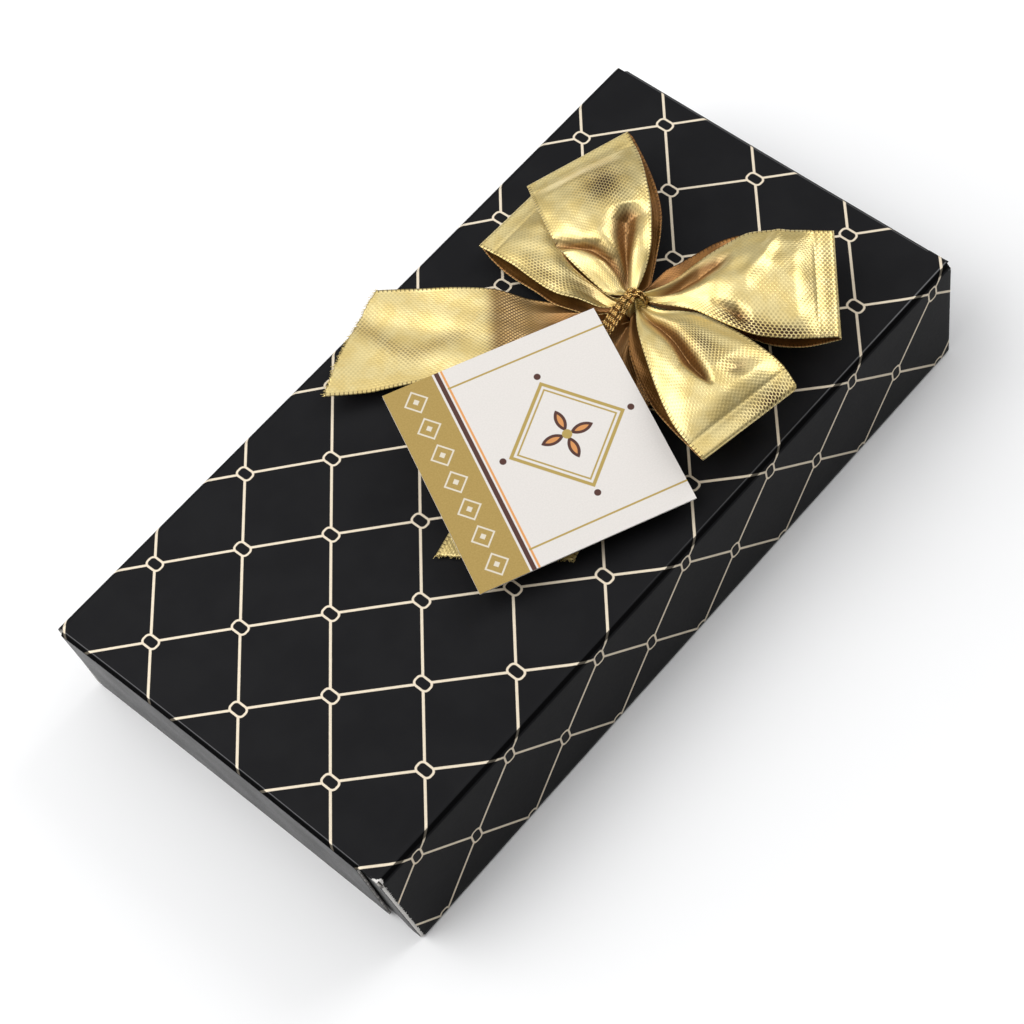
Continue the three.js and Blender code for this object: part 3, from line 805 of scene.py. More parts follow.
def praline_mesh(kind):
    shape, _, layers = KINDS[kind]
    nt, nk = 120, 70
    z = np.array([q[0] for q in layers], float)
    r = np.array([q[1] for q in layers], float)
    s = np.concatenate([[0], np.cumsum(np.hypot(np.diff(z), np.diff(r)))])
    t = np.linspace(0, s[-1], nk)
    pr, pz = curve(s, r, t), curve(s, z, t)
    th = np.arange(nt) / nt * 2 * math.pi
    c, sn = np.cos(th), np.sin(th)
    if shape == "round":
        ox, oy = c, sn
    elif shape == "oval":
        ox, oy = 0.82 * c, sn
    elif shape == "hex":
        w = math.pi / 3
        k = math.cos(w / 2) / np.cos(np.mod(th, w) - w / 2)
        k = k * 0.93 + 0.06
        ox, oy = c * k, sn * k
    else:
        ox, oy = np.sign(c) * np.abs(c) ** 0.42, np.sign(sn) * np.abs(sn) ** 0.42
    X, Y = pr[:, None] * ox, pr[:, None] * oy
    Z = np.repeat(pz[:, None], nt, 1)
    T = np.repeat(th[None], nk, 0)
    R = np.hypot(X, Y)
    top = layers[-1][0]
    deco = np.zeros_like(X)
    side = smoothstep(0.6, 2.5, Z)
    if kind == 0:      # swirl of soft flutes
        d = 0.42 * np.cos(7 * T + Z * 0.42) * side * smoothstep(0.2, 3.0, R)
        X, Y = X * (1 + d / np.maximum(R, 1)), Y * (1 + d / np.maximum(R, 1))
    elif kind == 1:    # slanting drizzle lines
        q = (X * 0.94 + Y * 0.34 + 0.5 * np.sin(Y * 0.5)) / 3.3
        line = np.exp(-((q - np.round(q)) * 3.3 / 0.42) ** 2) * smoothstep(top - 3.6, top - 2.2, Z)
        deco = line
        Z = Z + 0.38 * line
    elif kind == 2:    # ridged leaf
        q = (np.abs(X) * 0.9 + Y) / 3.0
        ridge = np.exp(-((q - np.round(q)) * 3.0 / 0.5) ** 2) * smoothstep(4.0, 7.0, Z)
        spine = np.exp(-(X / 0.55) ** 2) * smoothstep(6, 9, Z)
        Z = Z + 0.34 * np.maximum(ridge * smoothstep(0.5, 1.2, np.abs(X)), spine) - 0.1
    elif kind == 3:    # piped rosette
        d = 0.85 * np.abs(np.sin(3.5 * T - Z * 0.36)) * side * smoothstep(0.3, 3.0, R) - 0.45 * side
        k = 1 + d / np.maximum(R, 1)
        X, Y = X * k, Y * k
    elif kind == 4:    # ring and half nut
        Z = Z + 0.45 * np.exp(-((R - 5.6) / 0.6) ** 2) * smoothstep(top - 1.5, top - 0.5, Z)
        nut = np.sqrt(np.maximum(0, 1 - (R / 3.7) ** 2))
        up = smoothstep(top - 0.6, top - 0.2, pz)[:, None]
        Z = Z + 2.6 * nut * up * (1 + 0.03 * np.cos(9 * T))
        deco = (R < 3.65).astype(float) * up
    else:              # crossed grooves
        q1, q2 = (X + Y) / 4.2, (X - Y) / 4.2
        g = np.exp(-((q1 - np.round(q1)) * 4.2 / 0.5) ** 2) + np.exp(-((q2 - np.round(q2)) * 4.2 / 0.5) ** 2)
        Z = Z - 0.35 * np.minimum(g, 1) * smoothstep(6.0, 9.0, Z)
    v = np.stack([X, Y, Z], -1).reshape(-1, 3)
    v[(nk - 1) * nt:] = v[(nk - 1) * nt:].mean(0)
    faces = []
    for k in range(nk - 2):
        for q in range(nt):
            q2 = (q + 1) % nt
            faces.append([k * nt + q, k * nt + q2, (k + 1) * nt + q2, (k + 1) * nt + q])
    apex = (nk - 1) * nt
    for q in range(nt):
        faces.append([(nk - 2) * nt + q, (nk - 2) * nt + (q + 1) % nt, apex])
    faces.append(list(range(nt))[::-1])
    used = (nk - 1) * nt + 1
    ob = make(f"praline_kind_{kind + 1}", v[:used], faces, floats={"deco": deco.reshape(-1)[:used]})
    me = ob.data
    bpy.data.objects.remove(ob)
    return me


def build_pralines():
    mats = [
        chocolate("dark_swirl", (0.026, 0.0095, 0.0055), (0.036, 0.014, 0.008), (0.2, 0.08, 0.03), 0.28),
        chocolate("milk_drizzle", (0.135, 0.044, 0.017), (0.165, 0.057, 0.023), (0.74, 0.60, 0.36), 0.32),
        chocolate("milk_leaf", (0.15, 0.052, 0.02), (0.185, 0.068, 0.027), (0.2, 0.08, 0.03), 0.3),
        chocolate("white_rosette", (0.74, 0.62, 0.35), (0.80, 0.69, 0.43), (0.8, 0.7, 0.5), 0.4),
        chocolate("dark_nut", (0.03, 0.011, 0.0065), (0.042, 0.016, 0.009), (0.34, 0.16, 0.055), 0.3, 0.5),
        chocolate("dark_dusted", (0.045, 0.018, 0.010), (0.075, 0.033, 0.019), (0.1, 0.05, 0.03), 0.6, 0.6, 1.5),
    ]
    meshes = []
    for k in range(6):
        me = praline_mesh(k)
        me.materials.append(mats[k])
        meshes.append(me)
    for r in range(3):
        for c in range(6):
            k = (c + 2 * r) % 6
            ob = bpy.data.objects.new(f"chocolate_r{r + 1}c{c + 1}", meshes[k])
            bpy.context.scene.collection.objects.link(ob)
            turn = 0.0 if KINDS[k][0] != "round" else 0.7 * (r + c)
            ob.matrix_world = Matrix.Translation(Vector((
                (c - 2.5) * PITCH_X, TRAY_Y + (r - 1) * PITCH_Y, PRALINE_Z)) * S) @ Matrix.Rotation(turn, 4, "Z")
            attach(ob, "base")
            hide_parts(f"praline_r{r + 1}c{c + 1}")


def build_pad():
    """Quilted cushion glued inside the lid: diamond pillows below, flat above."""
    nx, ny = 261, 137
    hx, hy = 78.2, 40.4
    xs, ys = np.linspace(-hx, hx, nx), np.linspace(-hy, hy, ny)
    X, Y = np.meshgrid(xs, ys, indexing="ij")
    p, q = (X + Y) / 9.0, (X - Y) / 9.0
    puff = (np.abs(np.sin(math.pi * p)) * np.abs(np.sin(math.pi * q))) ** 0.45
    edge = np.minimum(hx - np.abs(X), hy - np.abs(Y))
    full = smoothstep(0, 3.0, edge)
    low = 24.6 - full * (0.9 + 2.3 * puff)
    up = 24.9 + 0.25 * full
    v = np.concatenate([np.stack([X, Y + TRAY_Y, low], -1).reshape(-1, 3), np.stack([X, Y + TRAY_Y, up], -1).reshape(-1, 3)])
    n = nx * ny
    f = [oriented(v, grid_faces(nx, ny), (0, 0, -1)), oriented(v, grid_faces(nx, ny, n), (0, 0, 1))]
    loop = ([(i, 0) for i in range(nx)] + [(nx - 1, j) for j in range(1, ny)]
            + [(i, ny - 1) for i in range(nx - 2, -1, -1)] + [(0, j) for j in range(ny - 2, 0, -1)])
    a = np.array([i * ny + j for i, j in loop])
    a2 = np.roll(a, -1)
    f.append(np.stack([a, a2, a2 + n, a + n], 1))
    ob = make("quilted_pad", v, np.vstack(f))
    ob.data.materials.append(pad_paper())
    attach(ob, "lid")
    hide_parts("cushion_pad")


build_tray()
build_pralines()
build_pad()

# -------------------------------------------------------------------------- bow
KNOT = np.array([36.0, -3.0])
HALF_RIBBON = 12.5


def valley(path, U, T, HW):
    """A fold pressed into a ribbon layer. path rows: (u share, t, depth, half width in mm)."""
    p = np.asarray(path, float)
    t0, depth, sig = (np.interp(U, p[:, 0], p[:, k]) for k in (1, 2, 3))
    inside = smoothstep(p[0, 0] - 0.06, p[0, 0], U) * (1 - smoothstep(p[-1, 0], p[-1, 0] + 0.02, U))
    return -depth * inside * np.exp(-(np.abs((T - t0) * HW / sig)) ** 1.7)


def edge_rows(rows, n):
    """The two edges of a ribbon layer, sampled evenly along its middle from the knot out."""
    r = np.asarray(rows, float)
    k, fine = np.arange(len(r)), np.linspace(0, len(r) - 1, 600)
    e = np.stack([curve(k, r[:, c], fine) for c in range(6)], 1)
    mid = (e[:, :3] + e[:, 3:]) / 2
    s = np.concatenate([[0], np.cumsum(np.linalg.norm(np.diff(mid, axis=0), axis=1))])
    want = np.linspace(0, s[-1], n)
    return np.stack([np.interp(want, s, e[:, c]) for c in range(6)], 1), want / s[-1]


def loop_strip(name, lower, upper, bulge, arch, folds, pleats, weave, low_arch=0.5, seed=0.0):
    """One loop: lower layer out, tight end fold, upper layer back to the knot.
    lower and upper are rows with a point on each edge (x, y, z, x, y, z).
    weave lists stretched places on the upper layer: (u share, t, reach along, reach across, strength)."""
    nt, n1, n2, nf = 97, 60, 130, 11
    T = np.linspace(-1, 1, nt)
    low, ul = edge_rows(lower, n1)
    top, uu = edge_rows(upper, n2)
    low, top, uu = low, top[::-1], uu[::-1]
    share = ((1 + T) / 2)[None, :, None]
    PL, PU = (e[:, None, :3] * share + e[:, None, 3:] * (1 - share) for e in (low, top))
    # End fold, bulging away from the knot.
    across = top[0, :3] - top[0, 3:]
    out = np.array([across[1], -across[0], 0.0]) / np.hypot(across[0], across[1])
    out *= np.sign(out[:2] @ ((top[0, :2] + top[0, 3:5]) / 2 - KNOT))
    ang = np.linspace(-math.pi / 2, math.pi / 2, nf + 2)[1:-1]
    mid, half = (PL[-1] + PU[0]) / 2, (PU[0] - PL[-1]) / 2
    PF = mid + half * np.sin(ang)[:, None, None] + out * (bulge * np.cos(ang))[:, None, None]
    P = np.concatenate([PL, PF, PU])
    U = np.concatenate([ul, np.ones(nf), uu])[:, None]
    TOP = np.concatenate([np.zeros(n1), (np.sin(ang) + 1) / 2, np.ones(n2)])[:, None]
    HW = np.linalg.norm(P[:, 0] - P[:, -1], axis=1)[:, None] / 2
    length_mm = np.linalg.norm(PU[0, nt // 2] - PU[-1, nt // 2])
    end = 1 - smoothstep(0.80, 0.97, U)
    # Crosswise arch, gathers near the knot, pressed folds, a faint crease beside the end fold.
    h = (1 - np.abs(T) ** 2.2) * end * smoothstep(0.0, 0.4, U) * (TOP * arch - (1 - TOP) * low_arch)
    amp, count, phase = pleats
    gather = np.arcsin(0.92 * np.sin(math.pi * count * T + phase)) / math.asin(0.92)
    h = h + amp * gather * (1 - smoothstep(0.04, 0.5, U)) * (TOP + (1 - TOP) * 0.6)
    UU, TT = np.broadcast_arrays(U, T[None])
    # Painted shade: the depth of each pressed fold becomes the fold attribute, which darkens the gold.
    fold_shade = np.zeros(UU.shape)
    for path in folds:
        press = valley(path, UU, TT, HW) * TOP
        h = h + press
        fold_shade = fold_shade + np.clip(-press / 1.6, 0, 1)
    h = h - 0.16 * np.exp(-(((1 - U) * length_mm - 2.9) / 0.35) ** 2) * TOP
    rip = 0.06 * np.sin(TT * 9.0 + UU * 14.0 + seed) + 0.035 * np.sin(TT * 17.0 - UU * 21.0 + seed * 2)
    h = h + rip * end * smoothstep(0.1, 0.3, U)
    P[..., 2] += h
    s = np.concatenate([[0], np.cumsum(np.linalg.norm(np.diff(P[:, nt // 2], axis=0), axis=1))])
    flat = np.stack(np.broadcast_arrays(s[:, None], TT * HALF_RIBBON), -1)
    v, f = P.reshape(-1, 3), grid_faces(len(P), nt)
    outer = f[(n1 + nf) * (nt - 1):]
    if oriented(v, outer, (0, 0, 1)) is not outer:
        f = f[:, ::-1]
    open_weave = sum(k * np.exp(-((UU - u) / du) ** 2 - ((TT - t) / dt) ** 2) for u, t, du, dt, k in weave) * TOP
    ob = make(name, v, f, flat=flat.reshape(-1, 2),
              floats={"fold": np.clip(fold_shade, 0, 1).ravel(), "weave": np.clip(open_weave, 0, 1).ravel()})
    finish_ribbon(ob, s[-1])
    return ob


def finish_ribbon(ob, total):
    ob.data.materials.append(LAME)
    # Inner faces take the darker copy of the lamé, painted shade.
    ob.data.materials.append(LAME_SHADED_INSIDE)
    solidify(ob, 0.16, offset=0.0, inner=1)
    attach(ob, "lid")
    ob["strip_mm"] = total


def tail_strip(name, deg, L, heights, widths, shift, slant, waves, root=1.4, pleats=(0.8, 2, 0.4), belly=0.0, band=()):
    """One tail: from the knot, widening, to a slanted cut with a few loose threads.
    heights, widths and shift (of the middle, sideways) are tables along the tail, as shares of its length.
    belly rounds the cut outwards; band is the path (share, t) of a stripe of painted shade with more open weave."""
    a = math.radians(deg)
    eu, es = np.array([math.cos(a), math.sin(a), 0]), np.array([-math.sin(a), math.cos(a), 0])
    nt, ns = 81, 130
    T = np.linspace(-1, 1, nt)
    g = np.linspace(0, 1, ns)
    ends = L + slant * T * HALF_RIBBON + belly * (1 - T ** 2) + 0.1 * RNG.standard_normal(nt)
    U = root + g[:, None] * (ends[None] - root)
    TT = np.broadcast_to(T, U.shape)
    share = U / L
    z, width, side = (curve([q[0] for q in rows], [q[1] for q in rows], share) for rows in (heights, widths, shift))
    HW = HALF_RIBBON * width
    amp, count, phase = pleats
    gather = np.arcsin(0.92 * np.sin(math.pi * count * TT + phase)) / math.asin(0.92)
    h = amp * gather * (1 - smoothstep(0.03, 0.42, share))
    for path in waves:
        h += valley(path, share, TT, HW)
    h += 0.07 * np.sin(TT * 8 + share * 15) * smoothstep(0.2, 0.4, share)
    P = np.array([KNOT[0], KNOT[1], 0]) + eu * U[..., None] + es * (TT * HW + side)[..., None]
    P[..., 2] += z + h
    flat = np.stack([U, TT * HALF_RIBBON], -1)
    v = P.reshape(-1, 3)
    # Painted shade: darker gold towards the knot, where the tail lies under the loops; it goes into the fold
    # attribute.
    shade = 0.75 * (1 - smoothstep(0.48, 0.54, share)) + 0.25 * (1 - smoothstep(0.24, 0.42, share))
    weave = 0.6 * np.exp(-((share - 0.44) / 0.1) ** 2)
    if band:
        middle = curve([q[0] for q in band], [q[1] for q in band], share)
        shadow_stripe = np.exp(-((TT - middle) / 0.2) ** 2) * smoothstep(0.54, 0.64, share)
        # The stripe adds painted shade and more open weave.
        shade, weave = np.clip(shade + 0.16 * shadow_stripe, 0, 1), np.clip(weave + 0.4 * shadow_stripe, 0, 1)
    ob = make(name, v, oriented(v, grid_faces(ns, nt), (0, 0, 1)), flat=flat.reshape(-1, 2),
              floats={"fold": shade.ravel(), "weave": weave.ravel()})
    finish_ribbon(ob, L)
    # Loose threads along the cut.
    parts = []
    for k in range(0, nt):
        for _ in range(2):
            tip = P[-1, k]
            along = P[-1, k] - P[-6, k]
            along /= np.linalg.norm(along)
            across = es * RNG.normal(0, 0.35) + np.array([0, 0, 1]) * RNG.normal(0, 0.2)
            n = RNG.uniform(0.25, 0.95)
            base = tip - along * 0.25 + es * RNG.uniform(-0.15, 0.15)
            pts = np.array([base, base + along * n * 0.5 + across * 0.2, base + along * n + across * 0.55])
            v, f, fl, _, _ = tube(pts, [0.075, 0.06, 0.03], 4)
            fl = np.stack([fl[:, 0] * 0.3 + 0.28, np.zeros(len(fl)) + 0.31], 1)
            parts.append((v, f, fl))
    fringe = joined(name + "_fringe", parts)
    fringe.data.materials.append(LAME)
    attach(fringe, "lid")
    return ob


def build_bow():
    b1 = loop_strip(
        "ribbon_loop_back_right",
        lower=[(36.3, -0.9, 35.8, 38.4, -1.8, 35.8), (34.4, 2.2, 35.5, 40.8, -2.3, 35.5), (34.5, 5.9, 35.3, 43.8, -0.8, 35.3),
               (35.0, 10.6, 35.1, 48.0, 1.7, 35.1), (35.9, 14.9, 35.0, 52.8, 4.8, 35.0), (37.5, 18.8, 35.1, 56.5, 7.7, 35.1),
               (39.8, 23.2, 35.2, 59.7, 11.4, 35.2), (42.3, 27.8, 35.4, 63.4, 16.9, 35.4), (44.9, 32.1, 35.8, 67.1, 23.9, 35.8)],
        upper=[(35.6, -0.6, 37.2, 38.1, -1.6, 37.2), (33.5, 2.7, 37.6, 40.4, -1.1, 37.8), (33.7, 6.5, 38.4, 43.5, 0.0, 38.8),
               (34.2, 11.2, 39.2, 46.6, 1.7, 39.6), (35.1, 15.5, 39.6, 50.5, 4.8, 40.0), (36.6, 19.4, 39.6, 54.7, 8.6, 39.6),
               (38.9, 23.7, 39.2, 58.9, 13.3, 39.0), (41.4, 28.3, 38.2, 63.1, 18.6, 38.0), (44.0, 32.4, 37.0, 66.8, 24.9, 37.0)],
        bulge=1.0, arch=2.6,
        folds=[[(0.02, -0.14, 0.3, 0.6), (0.13, -0.24, 1.4, 0.9), (0.25, -0.34, 2.5, 1.5), (0.36, -0.43, 3.1, 2.2), (0.44, -0.49, 2.6, 2.5), (0.52, -0.52, 0.0, 2.2)],
               [(0.0, -0.05, 0.4, 0.6), (0.09, 0.0, 1.2, 1.0), (0.22, 0.15, 2.0, 1.4), (0.32, 0.42, 2.3, 1.7), (0.38, 0.75, 1.9, 1.9), (0.45, 1.0, 1.1, 2.0), (0.50, 1.2, 0.0, 2.0)],
               [(0.58, -0.1, 0.0, 4.0), (0.74, -0.2, 0.4, 4.6), (0.92, -0.25, 0.0, 4.6)]],
        pleats=(0.35, 2, 0.6), weave=[(0.69, -0.22, 0.17, 0.42, 1.0), (0.1, 0.1, 0.1, 0.6, 0.5)], low_arch=0.3, seed=0.9)
    b2 = loop_strip(
        "ribbon_loop_back_left",
        lower=[(35.2, -1.2, 32.4, 37.2, -1.2, 32.4), (32.6, 2.0, 31.9, 40.0, 1.6, 32.0), (30.4, 5.0, 31.4, 43.2, 4.0, 31.0), (29.6, 8.1, 31.0, 46.0, 7.4, 30.3),
               (28.8, 13.9, 30.2, 50.0, 13.4, 29.7), (29.0, 18.5, 29.8, 52.0, 17.8, 29.5), (29.0, 23.2, 29.4, 53.2, 22.6, 29.3),
               (29.1, 26.4, 29.3, 53.6, 26.0, 29.4), (29.7, 30.9, 29.6, 54.0, 30.4, 29.8), (30.4, 34.0, 30.3, 54.6, 33.4, 30.2)],
        upper=[(35.2, -1.2, 33.8, 37.0, -1.2, 33.8), (33.4, 1.4, 33.4, 39.6, 1.4, 34.0), (32.1, 3.7, 33.2, 43.2, 3.8, 33.9), (31.2, 7.9, 33.3, 47.0, 8.0, 33.8),
               (29.6, 12.9, 33.5, 50.2, 12.5, 33.6), (29.3, 16.4, 33.5, 52.0, 16.0, 33.4), (29.5, 20.2, 33.2, 53.2, 19.8, 33.1),
               (30.0, 25.0, 32.6, 54.2, 24.6, 32.7), (30.1, 29.5, 32.0, 54.7, 29.0, 32.1), (30.0, 33.6, 31.4, 54.9, 32.9, 31.4)],
        bulge=0.9, arch=0.8,
        folds=[[(0.05, 0.45, 0.4, 0.9), (0.25, 0.55, 0.8, 1.6), (0.45, 0.6, 0.0, 2.0)]],
        pleats=(0.6, 4, 1.6), weave=[(0.55, 0.8, 0.22, 0.22, 0.8)], low_arch=0.2, seed=1.7)
    b3 = loop_strip(
        "ribbon_loop_front_right",
        lower=[(39.7, -2.2, 35.4, 37.5, -3.4, 35.2), (42.7, -1.8, 34.6, 38.8, -6.9, 34.2), (46.4, -1.5, 33.8, 41.1, -10.5, 33.0),
               (50.2, -2.3, 33.0, 42.8, -14.6, 32.4), (54.1, -3.4, 32.8, 43.7, -19.4, 32.2), (57.9, -4.8, 33.0, 44.6, -24.2, 32.4),
               (60.7, -6.9, 33.6, 45.5, -29.0, 33.0), (67.0, -14.2, 34.6, 49.1, -35.7, 34.2), (72.2, -22.4, 35.4, 52.9, -39.6, 35.2)],
        upper=[(38.3, -3.3, 37.2, 36.8, -4.2, 37.2), (40.4, -4.7, 37.6, 37.9, -7.4, 37.4), (44.3, -6.5, 38.3, 39.4, -11.1, 37.8),
               (48.4, -7.5, 38.8, 40.7, -15.0, 38.2), (52.9, -8.7, 39.0, 41.1, -18.9, 38.6), (56.7, -9.9, 39.0, 41.7, -23.3, 38.8),
               (60.2, -11.1, 38.8, 42.7, -27.3, 38.6), (66.0, -16.5, 38.0, 46.8, -33.6, 38.0), (71.5, -23.0, 37.0, 52.4, -39.5, 37.0)],
        bulge=1.0, arch=2.4,
        folds=[[(0.04, 0.30, 0.4, 0.8), (0.12, 0.36, 1.6, 1.3), (0.20, 0.38, 2.5, 1.9), (0.30, 0.44, 2.7, 2.3), (0.40, 0.52, 1.7, 2.2), (0.50, 0.58, 0.0, 2.0)],
               [(0.40, -0.62, 0.4, 1.0), (0.50, -0.70, 1.7, 1.4), (0.57, -0.74, 0.0, 1.3)],
               [(0.40, -0.35, 0.0, 2.5), (0.55, 0.0, -0.7, 2.5), (0.66, 0.45, -0.8, 2.8), (0.74, 0.95, -0.5, 3.0), (0.80, 1.1, 0.0, 3.0)]],
        pleats=(0.35, 2, 2.4), weave=[(0.5, -0.85, 0.2, 0.2, 1.0), (0.75, -0.92, 0.2, 0.12, 0.9), (0.98, 0.0, 0.07, 1.4, 0.6)], seed=2.6)
    b4 = loop_strip(
        "ribbon_loop_front_left",
        lower=[(35.7, -4.6, 35.2, 34.5, -3.1, 35.2), (35.7, -8.2, 34.2, 31.0, -5.0, 34.2), (37.9, -12.1, 33.4, 27.9, -7.6, 33.4),
               (39.7, -16.2, 33.0, 24.9, -11.6, 33.0), (40.0, -21.5, 33.0, 22.4, -15.8, 33.0), (40.2, -26.7, 33.2, 20.4, -20.3, 33.2),
               (40.2, -31.5, 33.8, 18.9, -25.0, 33.8), (39.6, -35.5, 34.6, 17.6, -30.0, 34.6), (38.4, -39.4, 35.2, 16.4, -35.3, 35.2)],
        upper=[(36.2, -4.7, 37.0, 34.5, -4.3, 37.0), (37.2, -8.6, 37.2, 31.4, -7.2, 37.4), (39.4, -12.3, 37.4, 28.5, -10.7, 38.0),
               (41.2, -16.4, 37.6, 25.6, -14.7, 38.4), (41.5, -21.6, 38.0, 22.2, -19.7, 38.6), (41.7, -26.9, 38.2, 19.6, -24.0, 38.6),
               (41.6, -31.7, 38.0, 17.7, -27.9, 38.2), (41.1, -35.7, 37.6, 16.6, -31.8, 37.6), (39.8, -39.6, 36.8, 16.0, -35.5, 36.8)],
        bulge=1.0, arch=2.0,
        folds=[[(0.0, 0.05, 0.6, 0.6), (0.12, 0.0, 1.6, 0.9), (0.30, -0.06, 2.8, 1.3), (0.50, -0.10, 3.3, 1.5), (0.64, -0.11, 2.2, 1.0), (0.75, -0.11, 0.0, 0.5)],
               [(0.66, 0.35, 0.0, 2.6), (0.74, 0.45, 0.8, 2.2), (0.82, 0.45, 0.0, 2.4)]],
        pleats=(0.35, 2, 0.2), weave=[(0.5, 0.32, 0.22, 0.24, 0.9), (1.0, 0.5, 0.08, 0.6, 1.0)], seed=3.8)
    t1 = tail_strip(
        "ribbon_tail_left", 133.6, 58.0,
        heights=[(0.04, 31.0), (0.18, 29.8), (0.36, 29.2), (0.50, 31.2), (0.62, 31.0), (0.78, 30.4), (0.92, 30.4), (1.1, 31.6)],
        widths=[(0.0, 0.12), (0.18, 0.34), (0.37, 0.58), (0.52, 0.75), (0.8, 0.925), (0.95, 0.985), (1.1, 0.985)],
        shift=[(0.0, 0.0), (0.37, -1.2), (0.55, -1.6), (0.8, -1.8), (1.1, -1.0)],
        slant=0.427, waves=[[(0.5, 0.0, 0.0, 4.0), (0.62, 0.0, 0.4, 4.0), (0.9, -0.3, 0.5, 5.0), (1.1, -0.4, 0.4, 5.0)]],
        pleats=(1.1, 3, 0.4), belly=1.0, band=[(0.5, 0.1), (0.64, 0.13), (0.78, 0.36), (0.97, -0.33), (1.1, -0.6)])
    t2 = tail_strip(
        "ribbon_tail_front", 193.7, 58.2,
        heights=[(0.04, 32.0), (0.22, 29.6), (0.45, 28.9), (0.7, 28.8), (1.1, 28.75)],
        widths=[(0.0, 0.16), (0.17, 0.55), (0.34, 0.93), (0.42, 1.0), (1.1, 1.0)], shift=[(0.0, 0.0), (1.1, 0.0)],
        slant=-0.40, waves=[[(0.4, 0.1, 0.0, 4.0), (0.6, 0.1, -0.3, 4.0), (1.1, 0.2, -0.3, 5.0)]])
    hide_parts("bow_loop_back_right")
    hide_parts("bow_loop_back_left")
    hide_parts("bow_loop_front_right")
    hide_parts("bow_loop_front_left")
    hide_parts("bow_tail_left")
    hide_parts("bow_tail_front")

    # Gathered middle of the bow.
    nt, nk = 96, 40
    th = np.arange(nt) / nt * 2 * math.pi
    k = np.linspace(0, 1, nk)
    z = 32.0 + 7.2 * k
    r = 2.0 * np.sqrt(np.maximum(0, 1 - (2 * k - 1) ** 2)) ** 0.7
    T, K = np.meshgrid(th, k, indexing="xy")
    rad = r[:, None] * (1 + 0.22 * np.cos(9 * T + 3 * K) + 0.14 * np.cos(14 * T - 5 * K))
    v = np.stack([KNOT[0] + rad * np.cos(T), KNOT[1] + rad * np.sin(T), np.repeat(z[:, None], nt, 1)], -1).reshape(-1, 3)
    f = []
    for a in range(nk - 1):
        for b in range(nt):
            b2_ = (b + 1) % nt
            f.append([a * nt + b, a * nt + b2_, (a + 1) * nt + b2_, (a + 1) * nt + b])
    f.append(list(range(nt))[::-1])
    f.append([(nk - 1) * nt + b for b in range(nt)])
    fl = np.stack([K.ravel() * 12, T.ravel() * 3.4], 1)
    knot = make("ribbon_gather", v, f, flat=fl)
    knot.data.materials.append(LAME)
    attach(knot, "lid")
    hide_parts("bow_knot")

    # Tie: turns of two-strand twisted cord over the gather, and the ends that hold the card.
    az = math.radians(110)
    ex, ey = np.array([math.cos(az), math.sin(az), 0]), np.array([-math.sin(az), math.cos(az), 0])
    parts = []

    def twisted(path, r_strand, pitch):
        p = np.asarray(path, float)
        _, _, _, nn, bb = tube(p, 0.1, 4)
        s = np.concatenate([[0], np.cumsum(np.linalg.norm(np.diff(p, axis=0), axis=1))])
        for ph in (0, math.pi):
            g = 2 * math.pi * s / pitch + ph
            q = p + r_strand * 0.95 * (np.cos(g)[:, None] * nn + np.sin(g)[:, None] * bb)
            v, f, fl, _, _ = tube(q, r_strand, 8)
            parts.append((v, f, fl))

    c = np.array([KNOT[0], KNOT[1], 35.7])
    w = np.linspace(0, 2 * math.pi * 2, 300)
    for k in range(4):
        off = (w / (4 * math.pi) - 0.5) * (1.9 - 0.7 * (k % 2)) + 0.35 * np.sin(w * 1.3 + 2.1 * k)
        r = 2.35 + 0.12 * k + 0.15 * np.sin(w * 2.3 + k)
        path = c + np.outer(r * np.cos(w), ex) + np.outer((r + 1.65) * np.sin(w), [0, 0, 1]) + np.outer(off, ey)
        twisted(path, 0.14, 0.9)
    for side in (-1.25, -0.75, -0.3, 0.15, 0.6, 1.1):
        t = np.linspace(0, 1, 60)[:, None]
        j = RNG.uniform(-0.6, 0.6, 3)
        p0 = np.array([KNOT[0] - 0.3, KNOT[1] + 0.5 * side, 39.5])
        p1 = np.array([KNOT[0] - 2.6, KNOT[1] + 1.2 + 1.2 * side, 39.6]) + j
        p2 = np.array([27.1 - 0.3 * side, -2.4 + 1.0 * side, 35.8]) - 0.5 * j
        path = (1 - t) ** 2 * p0 + 2 * t * (1 - t) * p1 + t ** 2 * p2
        twisted(path, 0.14, 0.9)
    tie = joined("tie_cord_turns", parts)
    tie.data.materials.append(CORD)
    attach(tie, "lid")
    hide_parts("bow_tie_cord")

    o = NODES["bow_adhesive_pad"]
    o.data.materials.clear()
    o.data.materials.append(foam())


build_bow()

# -------------------------------------------------------------------- gift card
CARD_C = np.array([-0.7, -9.06, 35.68])
T1 = np.array([-0.9123, 0.4073, 0.0441])
T1 = T1 / np.linalg.norm(T1)
T2 = np.array([-0.4089, -0.8991, -0.1562])
T2 = T2 - T1 * (T2 @ T1)
T2 = T2 / np.linalg.norm(T2)
TN = np.cross(T1, T2)
H = 22.7


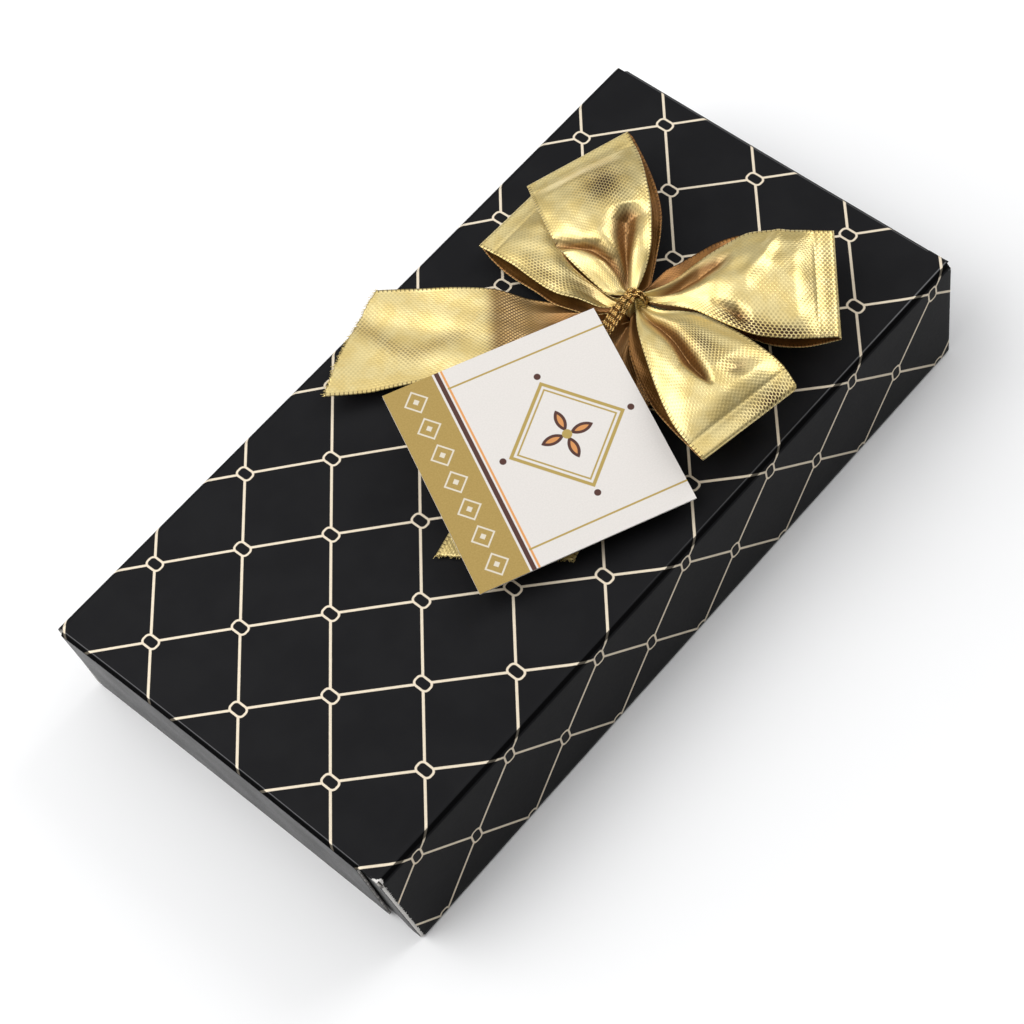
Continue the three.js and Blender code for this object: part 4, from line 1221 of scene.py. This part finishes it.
def build_card():
    n = 61
    g = np.linspace(-1, 1, n)
    A, B = np.meshgrid(g, g, indexing="ij")
    bow = 0.35 * (1 - (A * 0.6 + B * 0.8) ** 2) - 0.15
    top = CARD_C + (A * H)[..., None] * T1 + (B * H)[..., None] * T2 + (0.2 + bow)[..., None] * TN
    bot = top - 0.4 * TN
    v = np.concatenate([top.reshape(-1, 3), bot.reshape(-1, 3)])
    m = n * n
    fl = np.stack([A * H, B * H], -1).reshape(-1, 2)
    f = [oriented(v, grid_faces(n, n), TN), oriented(v, grid_faces(n, n, m), -TN)]
    loop = ([(i, 0) for i in range(n)] + [(n - 1, j) for j in range(1, n)]
            + [(i, n - 1) for i in range(n - 2, -1, -1)] + [(0, j) for j in range(n - 2, 0, -1)])
    a = np.array([i * n + j for i, j in loop])
    a2 = np.roll(a, -1)
    f.append(np.stack([a, a + m, a2 + m, a2], 1))
    ob = make("gift_card", v, np.vstack(f), flat=np.concatenate([fl, fl]), smooth=False)
    ob.data.materials.append(CARD)
    ob.data.materials.append(CARD_BACK)
    k = (n - 1) ** 2
    idx = np.zeros(len(ob.data.polygons), np.int32)
    idx[k:] = 1
    ob.data.polygons.foreach_set("material_index", idx)
    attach(ob, "tag")
    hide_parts("tag_card")
    # Short cord under the card.
    parts = []
    t = np.linspace(-H + 3.2, -H + 12, 40)
    line = CARD_C + np.outer(t, T1) + np.outer(t, T2) - 1.0 * TN
    _, _, _, nn, bb = tube(line, 0.1, 4)
    s = np.concatenate([[0], np.cumsum(np.linalg.norm(np.diff(line, axis=0), axis=1))])
    for ph in (0, math.pi):
        g2 = 2 * math.pi * s / 2.0 + ph
        q = line + 0.27 * (np.cos(g2)[:, None] * nn + np.sin(g2)[:, None] * bb)
        v, f, fl, _, _ = tube(q, 0.28, 8)
        parts.append((v, f, fl))
    cord = joined("card_cord", parts)
    cord.data.materials.append(CORD)
    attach(cord, "tag")
    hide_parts("tag_cord")


build_card()

# -------------------------------------------------------- stage, light and camera
def stage():
    me = bpy.data.meshes.new("floor")
    r = 3.0
    me.from_pydata([(-r, -r, -0.0003), (r, -r, -0.0003), (r, r, -0.0003), (-r, r, -0.0003)], [], [(0, 1, 2, 3)])
    floor = bpy.data.objects.new("floor", me)
    bpy.context.scene.collection.objects.link(floor)
    m = Mat("floor_white", (0.86, 0.86, 0.86), 0.8, spec=0.1)
    me.materials.append(m.m)

    world = bpy.data.worlds.new("studio")
    bpy.context.scene.world = world
    world.use_nodes = True
    # A large soft box overhead, slightly behind the carton, in a dim room.
    nt = world.node_tree
    bg = nt.nodes["Background"]
    bg.inputs[0].default_value = (0.98, 0.985, 1.0, 1.0)
    tc = nt.nodes.new("ShaderNodeTexCoord")
    dot = nt.nodes.new("ShaderNodeVectorMath")
    dot.operation = "DOT_PRODUCT"
    dot.inputs[1].default_value = Vector((0.1, 0.2, 0.97)).normalized()
    nt.links.new(tc.outputs["Generated"], dot.inputs[0])
    d = Ex(nt, dot.outputs["Value"])
    nt.links.new((d.ramp(0.53, 0.81, 0.11, 0.84) + d.ramp(0.88, 0.98, 0.0, 0.16)).socket, bg.inputs[1])

    def area(name, where, at, size, power, color=(1, 1, 1)):
        d = bpy.data.lights.new(name, "AREA")
        d.shape = "RECTANGLE"
        d.size, d.size_y = size
        d.energy = power
        d.color = color
        o = bpy.data.objects.new(name, d)
        bpy.context.scene.collection.objects.link(o)
        o.location = where
        o.rotation_euler = (Vector(at) - Vector(where)).to_track_quat("-Z", "Y").to_euler()
        return o

    area("key_back_left", (-0.55, 0.55, 0.75), (0, 0, 0.02), (1.3, 1.3), 13.5)
    area("fill_right", (0.75, -0.1, 0.6), (0, 0, 0.02), (0.5, 0.6), 3.2)

    cam = bpy.data.cameras.new("photo_camera")
    cam.sensor_width = 36.0
    cam.lens = 99.375
    cam.clip_start, cam.clip_end = 0.01, 20.0
    o = bpy.data.objects.new("photo_camera", cam)
    bpy.context.scene.collection.objects.link(o)
    right = Vector((0.6556402052, -0.7444360721, -0.1262966977))
    down = Vector((-0.6889513861, -0.5213477085, -0.5035300928))
    ahead = Vector((0.3090014706, 0.4171468583, -0.8546967824))
    rot = Matrix((right, -down, -ahead)).transposed().to_4x4()
    o.matrix_world = Matrix.Translation(Vector((-180.30307574, -238.31408738, 494.13122335)) * S) @ rot
    bpy.context.scene.camera = o
    bpy.context.scene.view_settings.view_transform = "Standard"


stage()
